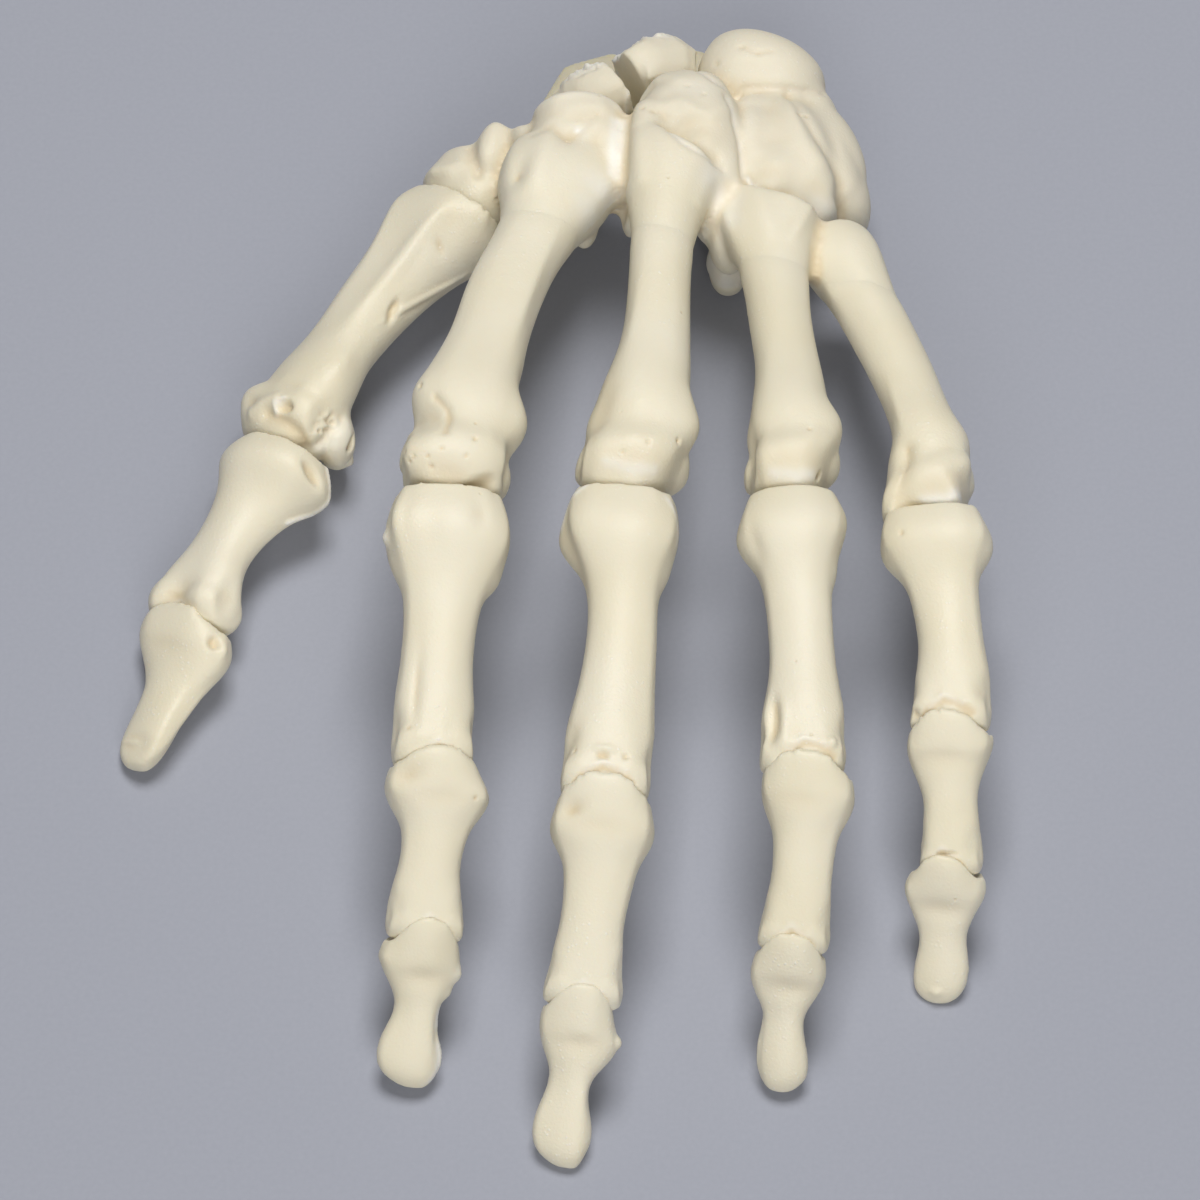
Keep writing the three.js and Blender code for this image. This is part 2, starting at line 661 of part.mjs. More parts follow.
// The digits past the palm
function addDigit(digit) {
  const layout = digits[digit];
  const names = Object.keys(frames[digit]);
  for (let i = 0; i < names.length; i += 1) {
    const kind = names[i];
    const isPalmBone = kind === 'metacarpal';
    if (isPalmBone && digit !== 'thumb') continue;
    const bone = layout[kind];
    const frame = frames[digit][kind];
    const isTip = kind === 'distal';
    const cuts = [];
    const forms = [];
    if (isPalmBone) {
      const cup = barrel(trapeziumSaddle.radius + jointGap, trapeziumSaddle.half + cupSideRoom);
      cuts.push(inWorld(solidOf(cup), frame));
      forms.push(shaft(bone, metacarpalForm), ...knuckleLobes(bone));
    } else {
      const before = names[i - 1];
      cuts.push(cupCut(layout[before], before, hinges[digit][kind]));
      forms.push(shaft(bone, isTip ? tipForm : phalanxForm));
    }
    const boreEnd = isTip ? strandInTip + seatGap : bone.length + 0.01;
    cuts.push(inWorld(solidOf(bar(bore, 0, boreEnd)), frame));
    if (!isTip) {
      const next = names[i + 1];
      forms.push(headBarrel(bone, kind, layout[next].splay));
      cuts.push(slotCut(bone, hinges[digit][next], bendOf[next]));
    }
    const suffix = isPalmBone ? 'metacarpal' : `${kind}_phalanx`;
    addPiece(`${digit}_${suffix}`, frame, castBone, forms, { cuts });
  }
}

for (const digit of Object.keys(digits)) addDigit(digit);

// Sesamoids, cut to the thumb metacarpal's head
for (const [side, spec] of Object.entries(sesamoids)) {
  const bone = digits.thumb.metacarpal;
  const shape = pebble({
    x: bone.length + spec.back, y: spec.side, z: spec.drop,
    wide: spec.long, long: spec.wide, deep: spec.deep,
  });
  addPiece(`thumb_${side}_sesamoid`, thumbFrame, castBone, [shape], {
    beside: ['thumb_metacarpal'],
  });
}

// The elastic strand, one length in each bone
function addStrand(name, frame, from, to) {
  const mesh = new THREE.Mesh(bar(strandRadius, from, to), new THREE.MeshStandardMaterial(elastic));
  mesh.name = name;
  frame.add(mesh);
}

for (const [digit, layout] of Object.entries(digits)) {
  for (const [kind, frame] of Object.entries(frames[digit])) {
    const length = layout[kind].length;
    const isFixedEnd = kind === 'metacarpal' && digit !== 'thumb';
    const from = isFixedEnd ? length - strandInPalm : strandEndGap;
    const to = kind === 'distal' ? strandInTip : length - strandEndGap;
    addStrand(`${digit}_${kind}_strand`, frame, from, to);
  }
}
addStrand('thumb_anchor_strand', hinges.thumb.metacarpal, -strandInTrapezium, -strandEndGap);

// The model stands on the table with its box centred on the origin
hand.updateMatrixWorld(true);
const box = new THREE.Box3().setFromObject(hand, true);
hand.position.set(-(box.min.x + box.max.x) / 2, -(box.min.y + box.max.y) / 2, -box.min.z);
hand.updateMatrixWorld(true);

export default hand;
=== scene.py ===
import math
import bpy
import numpy as np
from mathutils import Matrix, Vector
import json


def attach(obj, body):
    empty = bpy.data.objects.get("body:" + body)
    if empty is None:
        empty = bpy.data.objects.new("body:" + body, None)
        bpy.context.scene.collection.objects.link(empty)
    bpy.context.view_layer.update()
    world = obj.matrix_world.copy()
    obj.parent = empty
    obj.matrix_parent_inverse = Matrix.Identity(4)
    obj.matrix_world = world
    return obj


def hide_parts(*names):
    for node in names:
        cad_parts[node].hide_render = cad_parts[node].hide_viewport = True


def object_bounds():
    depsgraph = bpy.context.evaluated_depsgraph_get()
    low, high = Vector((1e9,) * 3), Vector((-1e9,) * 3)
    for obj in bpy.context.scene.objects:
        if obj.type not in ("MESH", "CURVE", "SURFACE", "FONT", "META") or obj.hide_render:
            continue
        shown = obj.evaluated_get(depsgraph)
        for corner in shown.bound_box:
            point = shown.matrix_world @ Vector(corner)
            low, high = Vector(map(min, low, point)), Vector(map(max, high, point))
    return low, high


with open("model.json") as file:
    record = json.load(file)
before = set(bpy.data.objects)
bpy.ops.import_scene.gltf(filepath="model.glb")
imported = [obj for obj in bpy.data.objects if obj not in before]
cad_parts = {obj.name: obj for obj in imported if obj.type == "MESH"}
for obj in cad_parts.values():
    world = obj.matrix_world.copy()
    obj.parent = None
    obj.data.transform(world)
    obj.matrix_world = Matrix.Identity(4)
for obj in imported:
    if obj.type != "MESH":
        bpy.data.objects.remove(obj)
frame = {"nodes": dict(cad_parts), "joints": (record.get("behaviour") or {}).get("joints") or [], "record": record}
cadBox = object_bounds()
mm = 0.001
boxLow, boxHigh = np.array([list(corner) for corner in cadBox]) / mm
bpy.context.scene.view_settings.view_transform = "Standard"

# camera: far out beyond the fingertips, looking down at the back of the hand
view = {"aim": (6.35, -6.74, 10.5), "distance": 698.4, "elevation": 59.2, "lens": 151.5, "sensor": 36,
        "clip": (0.05, 20)}


def makeCamera(look):
    tilt = math.radians(look["elevation"])
    bpy.ops.object.camera_add()
    camera = bpy.context.object
    aim = Vector(look["aim"]) * mm
    camera.location = aim + Vector((0, -math.cos(tilt), math.sin(tilt))) * look["distance"] * mm
    camera.rotation_euler = (math.pi / 2 - tilt, 0, 0)
    camera.data.lens = look["lens"]
    camera.data.sensor_width = look["sensor"]
    camera.data.clip_start, camera.data.clip_end = look["clip"]
    bpy.context.scene.camera = camera


makeCamera(view)
print("camera set")


# shader maths: a socket that can be added, subtracted and multiplied
class Wire:
    def __init__(self, shop, socket):
        self.shop = shop
        self.socket = socket

    def math(self, operation, first, second):
        return self.shop.node("ShaderNodeMath", {"operation": operation}, [first, second])

    def __add__(self, other):
        return self.math("ADD", self, other)

    def __sub__(self, other):
        return self.math("SUBTRACT", self, other)

    def __rsub__(self, other):
        return self.math("SUBTRACT", other, self)

    def __mul__(self, other):
        return self.math("MULTIPLY", self, other)

    __radd__ = __add__
    __rmul__ = __mul__


# where one material is put together
class Shop:
    def __init__(self, name):
        self.material = bpy.data.materials.new(name)
        self.material.use_nodes = True
        self.tree = self.material.node_tree
        self.tree.nodes.clear()
        self.outputNode = self.tree.nodes.new("ShaderNodeOutputMaterial")
        self.place = self.node("ShaderNodeTexCoord", output=3)  # Object coordinates

    def node(self, kind, settings=None, inputs=None, output=0):
        made = self.tree.nodes.new(kind)
        for key, value in (settings or {}).items():
            if key == "stops":
                for element, (place, shade) in zip(made.color_ramp.elements, value):
                    element.position = place
                    element.color = (shade, shade, shade, 1)
            else:
                setattr(made, key, value)
        pairs = inputs.items() if isinstance(inputs, dict) else enumerate(inputs or [])
        for key, value in pairs:
            if isinstance(value, Wire):
                self.tree.links.new(value.socket, made.inputs[key])
            else:
                made.inputs[key].default_value = value
        return Wire(self, made.outputs[output])

    def mix(self, amount, *tones):
        first, second = [(*tone, 1) if isinstance(tone, tuple) else tone for tone in tones]
        return self.node("ShaderNodeMix", {"data_type": "RGBA"}, {0: amount, 6: first, 7: second}, 2)

    def noise(self, scale, detail=2.0, rough=0.5):
        sockets = {"Vector": self.place, "Scale": scale, "Detail": detail, "Roughness": rough}
        return self.node("ShaderNodeTexNoise", {}, sockets)

    def cells(self, scale):
        return self.node("ShaderNodeTexVoronoi", {}, {"Vector": self.place, "Scale": scale})

    # 0 at one value and 1 at the other, and a slope between them
    def fade(self, value, off, on):
        return self.node("ShaderNodeValToRGB", {"stops": sorted([(off, 0), (on, 1)])}, {0: value})

    def painted(self, layer):
        return self.node("ShaderNodeAttribute", {"attribute_name": layer}, output=2)

    def cast(self, look, tone, rough, height):
        bump = self.node("ShaderNodeBump", {}, {
            "Strength": look["bump"], "Distance": look["depth"], "Height": height})
        return self.finish({
            "Base Color": tone, "Roughness": rough, "Normal": bump, "Specular IOR Level": look["specular"],
            "Subsurface Weight": look["softness"], "Subsurface Radius": look["glow"],
            "Subsurface Scale": look["reach"]})

    def finish(self, sockets):
        surface = self.node("ShaderNodeBsdfPrincipled", {}, sockets)
        self.tree.links.new(surface.socket, self.outputNode.inputs[0])
        return self.material


# one cream plastic, cast in several tones, with painted shade (tan in hollows and pores, partly the cast's own
# tan) and painted highlights (white on rims, white glint specks) mixed in. The sizes of its patterns are in waves
# to the metre
castLook = {"cream": (0.815, 0.75, 0.57), "pale": (0.85, 0.795, 0.64), "tan": (0.72, 0.58, 0.36),
            "white": (0.92, 0.91, 0.86), "wrist": (0.80, 0.74, 0.595), "clouds": 55.0, "patches": 38.0,
            "fine": 700.0, "grain": 2600.0, "pores": 230.0, "poreGroups": 90.0, "glints": 1300.0,
            "glintGroups": 420.0, "bump": 0.28, "depth": 0.0004, "roughness": 0.45, "specular": 0.4,
            "softness": 0.12, "glow": (0.9, 0.6, 0.35), "reach": 0.002}


def plastic(name, look):
    shop = Shop(name)
    recess, white, wrist = [shop.painted(layer) for layer in ("recess", "white", "wrist")]
    cloud = shop.noise(look["clouds"], 3.0)
    patch = shop.fade(shop.noise(look["patches"]), 0.42, 0.62)
    fine = shop.noise(look["fine"], 3.0, 0.6)
    grain = shop.noise(look["grain"], 1.0)
    pore = shop.fade(shop.cells(look["pores"]), 0.07, 0.03)
    pore = pore * shop.fade(shop.noise(look["poreGroups"]), 0.56, 0.62)
    glint = shop.fade(shop.cells(look["glints"]), 0.3, 0.12) * patch
    glint = glint * shop.fade(shop.noise(look["glintGroups"]), 0.5, 0.58)
    tone = shop.mix(shop.fade(cloud, 0.35, 0.7), look["cream"], look["pale"])
    tone = shop.mix(wrist * (0.6 + 0.4 * cloud), tone, look["wrist"])
    # painted shade: a darker tan mixed in where the skin is hollow, creased or marked tan, partly the cast's own
    # tan and partly the shade that falls in hollows
    tone = shop.mix(recess * (0.5 + 0.4 * cloud - 0.22 * wrist), tone, look["tan"])
    # painted shade: the tiny pores are tinted tan, as the shade inside them
    tone = shop.mix(pore * 0.5, tone, look["tan"])
    # white: partly the whitish glue in the seams and partly painted highlights along rims that catch the light
    tone = shop.mix(white * (0.6 + 0.5 * cloud), tone, look["white"])
    # painted highlight: white specks mixed into the colour where the glint dots stand, for the glints of light on
    # the glossy shafts
    tone = shop.mix(glint * 0.4, tone, look["white"])
    height = fine * 0.3 + grain * (0.25 + 0.15 * patch) + glint * 0.4 - pore * 1.2
    rough = look["roughness"] + 0.08 * cloud - 0.06 * patch - 0.12 * white - 0.12 * glint + 0.14 * wrist
    return shop.cast(look, tone, rough, height)


# the yellowish clear backing behind the broken bone
resinLook = {"deep": (0.56, 0.51, 0.37), "thin": (0.66, 0.615, 0.475), "clouds": 160.0, "bump": 0.15,
             "depth": 0.0004, "roughness": 0.25, "specular": 0.5, "softness": 0.5, "glow": (1.0, 0.8, 0.4),
             "reach": 0.003}


def resin(name, look):
    shop = Shop(name)
    cloud = shop.noise(look["clouds"], 3.0)
    tone = shop.mix(cloud, look["deep"], look["thin"])
    return shop.cast(look, tone, look["roughness"] + 0.1 * cloud, cloud)


castBone = plastic("castBone", castLook)
wristBone = plastic("wristBone", castLook)
elasticLook = plastic("elastic", {**castLook, "cream": (0.82, 0.80, 0.72), "roughness": 0.55})
backingLook = resin("backing", resinLook)
print("materials made")


def alone(piece):
    bpy.ops.object.select_all(action="DESELECT")
    piece.select_set(True)
    bpy.context.view_layer.objects.active = piece


def applied(piece, kind, **settings):
    alone(piece)
    modifier = piece.modifiers.new(kind.lower(), kind)
    for key, value in settings.items():
        setattr(modifier, key, value)
    bpy.ops.object.modifier_apply(modifier=modifier.name)


def copyOf(name, node):
    piece = bpy.data.objects.new(name, frame["nodes"][node].data.copy())
    bpy.context.scene.collection.objects.link(piece)
    alone(piece)
    piece.data.materials.clear()
    bpy.ops.object.mode_set(mode="EDIT")
    bpy.ops.mesh.select_all(action="SELECT")
    bpy.ops.mesh.remove_doubles(threshold=1e-6)
    bpy.ops.mesh.tris_convert_to_quads(face_threshold=math.radians(25), shape_threshold=math.radians(60))
    bpy.ops.object.mode_set(mode="OBJECT")
    return piece


# edges that turn more than corner, in degrees, stay crisp when the facets are rounded off, and those
# that turn by soft more than that stay fully so
def creased(piece, corner, soft=20):
    mesh = piece.data
    faceOf = {}
    for polygon in mesh.polygons:
        for key in polygon.edge_keys:
            faceOf.setdefault(key, []).append(polygon.normal.copy())
    layer = mesh.attributes.get("crease_edge") or mesh.attributes.new("crease_edge", "FLOAT", "EDGE")
    for edge in mesh.edges:
        pair = faceOf.get(edge.key, [])
        turn = math.degrees(pair[0].angle(pair[1], 0)) if len(pair) == 2 else 90
        layer.data[edge.index].value = min(1, max(0, (turn - corner) / soft))


# a skin: the points of a piece in mm, pushed about as a sculptor's tools would
class Skin:
    def __init__(self, piece):
        self.mesh = piece.data
        count = len(self.mesh.vertices)
        self.place = np.empty(count * 3, np.float32)
        self.mesh.vertices.foreach_get("co", self.place)
        self.place = self.place.reshape(-1, 3).astype(float) / mm
        links = np.empty(len(self.mesh.edges) * 2, np.int32)
        self.mesh.edges.foreach_get("vertices", links)
        self.links = links.reshape(-1, 2)
        self.tan = np.zeros(count)
        self.white = np.zeros(count)
        self.axis = np.array((0, -1, 0))
        self.back = np.array((0, 0, 1))
        self.side = np.array((1, 0, 0))
        self.readNormals()

    def readNormals(self):
        self.mesh.vertices.foreach_set("co", (self.place * mm).astype(np.float32).ravel())
        self.mesh.update()
        normal = np.empty(len(self.place) * 3, np.float32)
        self.mesh.vertex_normals.foreach_get("vector", normal)
        self.normal = normal.reshape(-1, 3).astype(float)

    # each point goes half way to the middle of its neighbours, as many times as there are rounds
    def averaged(self, values, rounds):
        first, second = self.links[:, 0], self.links[:, 1]
        count = len(values)
        degree = np.bincount(self.links.ravel(), minlength=count).astype(float)
        for _ in range(rounds):
            total = [np.bincount(first, column[second], count) + np.bincount(second, column[first], count)
                     for column in values.T]
            values = 0.5 * values + 0.5 * np.stack(total, 1) / degree[:, None]
        return values

    # where the marks are laid out: seen from above unless the piece has its own way of lying
    def lay(self, at):
        return self.place[:, 0] - at[0], self.place[:, 1] - at[1], self.normal[:, 2] > 0

    # one touch of a tool: how long and wide, how high (or deep, below 0), how crisp its edge, how it is
    # turned, how tan or white it is left, how often it rubs the surface down, and how far it drags all of
    # the piece there along, up and sideways
    def mark(self, at, size, height=0.0, crisp=2.0, turn=0.0, tan=0.0, rub=0, white=0.0, drag=None):
        along, across, facing = self.lay(at)
        if drag:
            facing = np.ones(len(facing))
        cos, sin = math.cos(math.radians(turn)), math.sin(math.radians(turn))
        long = (along * cos + across * sin) / size[0]
        wide = (across * cos - along * sin) / size[1]
        strength = np.exp(-np.hypot(long, wide) ** crisp) * facing
        if rub:
            self.place += strength[:, None] * (self.averaged(self.place, rub) - self.place)
            self.readNormals()
        if drag:
            self.place += (np.array(drag) @ (self.axis, self.back, self.side)) * strength[:, None]
        self.press(strength, height, tan, white)

    # a line drawn with the tool through some points, as a groove (below 0), a ridge or a line of paint
    def stroke(self, path, width, height=0.0, crisp=2.0, tan=0.0, white=0.0, stepsEach=10):
        points = np.array(path, float)
        count = len(points) - 1
        near = np.full(len(self.place), np.inf)
        for step in np.linspace(0, count, count * stepsEach + 1):
            at = [np.interp(step, range(count + 1), points[:, k]) for k in (0, 1)]
            along, across, facing = self.lay(at)
            near = np.minimum(near, np.where(facing, np.hypot(along, across), np.inf))
        self.press(np.exp(-(near / width) ** crisp), height, tan, white)

    # a broken, crumbly patch: fine crumbs on coarse ones, half as high
    def crumble(self, at, size, height, white=0.6, seed=4, crisp=4, coarseRounds=14, fineRounds=3):
        along, across, facing = self.lay(at)
        strength = np.exp(-np.hypot(along / size[0], across / size[1]) ** crisp) * facing
        noise = np.random.default_rng(seed).normal(size=(len(self.place), 1))
        coarse = self.averaged(noise, coarseRounds)[:, 0]
        fine = self.averaged(noise, fineRounds)[:, 0]
        self.press(strength, height * (fine / fine.std() * 0.5 + coarse / coarse.std()), 0, white)

    def press(self, strength, height, tan, white):
        self.place += self.normal * (height * strength)[:, None]
        self.tan = np.maximum(self.tan, tan * strength)
        self.white = np.maximum(self.white, white * strength)

    def carve(self, marks):
        for mark in marks:
            if "path" in mark:
                self.stroke(**mark)
            elif "seed" in mark:
                self.crumble(**mark)
            else:
                self.mark(**mark)
        self.readNormals()

    # keeps the piece in the CAD's box and notes for its material where it is white or wrist, and where it is
    # hollow or marked tan: there the material paints a darker tan, partly the cast's own tan and partly painted
    # shade where shade falls in hollows and creases
    def finish(self, depth, rounds=12):
        self.place = np.clip(self.place, boxLow, boxHigh)
        self.readNormals()
        around = self.averaged(self.place, rounds)
        hollow = ((around - self.place) * self.normal).sum(1)
        hollow = self.averaged(np.clip(hollow / depth, 0, 1)[:, None], 2)[:, 0]
        self.keep("recess", np.maximum(hollow, self.tan))
        self.keep("white", self.white)
        self.keep("wrist", pastRoot(self.place, "tone"))

    def keep(self, name, values):
        layer = self.mesh.attributes.new(name, "FLOAT", "POINT")
        layer.data.foreach_set("value", values.astype(np.float32))


hingeCalled = {joint["name"]: joint for joint in frame["joints"]}
endsOf = {"metacarpal": ("base", "knuckle"), "proximal_phalanx": ("knuckle", "middle_joint"),
          "middle_phalanx": ("middle_joint", "end_joint"), "distal_phalanx": ("end_joint", "")}
thumbEndsOf = {"metacarpal": ("base", "knuckle"), "proximal_phalanx": ("knuckle", "end"),
               "distal_phalanx": ("end", "")}


# a long bone's marks are laid out by how far along it they are in mm, from its near hinge, and by
# their angle round it in degrees: 0 on the back of the hand, positive towards the little finger
class LongBone(Skin):
    def __init__(self, piece, node):
        super().__init__(piece)
        digit, part = node.split("_", 1)
        ends = (thumbEndsOf if digit == "thumb" else endsOf)[part]
        near, far = [hingeCalled.get(f"{digit}_{end}") for end in ends]
        solid = np.array([point.co[:] for point in frame["nodes"][node].data.vertices]) / mm
        start = np.array(near["pos_m"]) / mm if near else self.farFrom(solid, np.array(far["pos_m"]) / mm)
        end = np.array(far["pos_m"]) / mm if far else self.farFrom(solid, start)
        self.axis = (end - start) / np.linalg.norm(end - start)
        side = np.array((far or near)["axis"])
        side = side * math.copysign(1, side[0])
        side = side - self.axis * (side @ self.axis)
        self.start = start
        self.side = side / np.linalg.norm(side)
        self.back = np.cross(self.axis, self.side)

    # the middle of the points that lie furthest from one point
    def farFrom(self, solid, point, share=0.94):
        away = np.linalg.norm(solid - point, axis=1)
        return solid[away > share * away.max()].mean(0)

    def lay(self, at):
        reach = self.place - self.start
        aside, above = reach @ self.side, reach @ self.back
        turn = np.degrees(np.arctan2(aside, above)) - at[1]
        turn = (turn + 180) % 360 - 180
        return reach @ self.axis - at[0], np.hypot(aside, above) * np.radians(turn), np.ones(len(turn))


boneSkin = {"voxel": 0.33, "corner": 28, "rounds": 11, "swell": 0.10, "brokenSwell": -0.15, "tuck": 1.0,
            "hollow": 0.12}
wristBones = ("capitate", "trapezoid", "trapezium", "hamate", "lunate", "triquetrum")
brokenBone = ("scaphoid_distal_fragment", "scaphoid_proximal_fragment")
palmBones = ("index_metacarpal", "middle_metacarpal", "ring_metacarpal", "little_metacarpal")


# a small pit, painted tan as the shade inside it
def pin(along, angle, size=0.5, depth=0.5):
    return dict(at=(along, angle), size=(0.7 * size, 0.7 * size), height=-0.7 * depth, crisp=3, tan=1)


# the flare, side knobs and side hollows of a palm bone's head, and the saddle behind the knuckle, painted tan,
# partly as the shade in the dip
def palmHead(length, saddle):
    return [
        dict(at=(length - 5, 0), size=(3.2, 40), rub=60),
        dict(at=(length - 5.5, -78), size=(3.0, 4.0), height=0.7),
        dict(at=(length - 5.5, 78), size=(3.0, 4.0), height=0.7),
        dict(at=(length - 0.5, -86), size=(3.4, 3.6), height=-0.35),
        dict(at=(length - 0.5, 86), size=(3.4, 3.6), height=-0.35),
        dict(at=(saddle, 0), size=(2.2, 6.0), height=-0.3, tan=0.4),
    ]


# the two round lobes of a finger bone's head, the hollows at its sides and the groove at the next bone, painted
# tan partly as the shade in the crease
def fingerHead(length, groove, half):
    return [
        dict(at=(length - 4, 0), size=(2.5, 40), rub=30),
        dict(at=(length - 2.5, 0), size=(2.6, half * 0.55), height=-0.12),
        dict(at=(length - 1.5, -78), size=(2.6, 1.8), height=-0.5, crisp=3),
        dict(at=(length - 1.5, 78), size=(2.6, 1.8), height=-0.5, crisp=3),
        dict(path=[(groove + 0.9, -50), (groove - 0.6, -28), (groove - 1.2, -4), (groove - 1.0, 20),
                   (groove + 0.6, 48)],
             width=0.6, height=-0.16, crisp=3, tan=1),
        dict(path=[(groove - 0.6, -34), (groove - 2.0, -6), (groove - 0.8, 34)],
             width=0.4, height=0.14, white=0.4),
    ]


# the raised lip of a base on the back of the hand, the shallow trough below it and the side knobs
def base(lip, half, reach=0.8):
    return [
        dict(at=(lip, 0), size=(2.2, half * 1.25), crisp=3, height=0.1,
             drag=(-reach - 1.2, 0.3 + 0.15 * reach, 0)),
        dict(at=(lip + 4.5, 0), size=(1.4, half * 0.9), height=-0.35, tan=0.25),
        dict(at=(lip + 6, -95), size=(2.6, 2.4), height=0.5),
        dict(at=(lip + 6, 95), size=(2.6, 2.4), height=0.5),
    ]
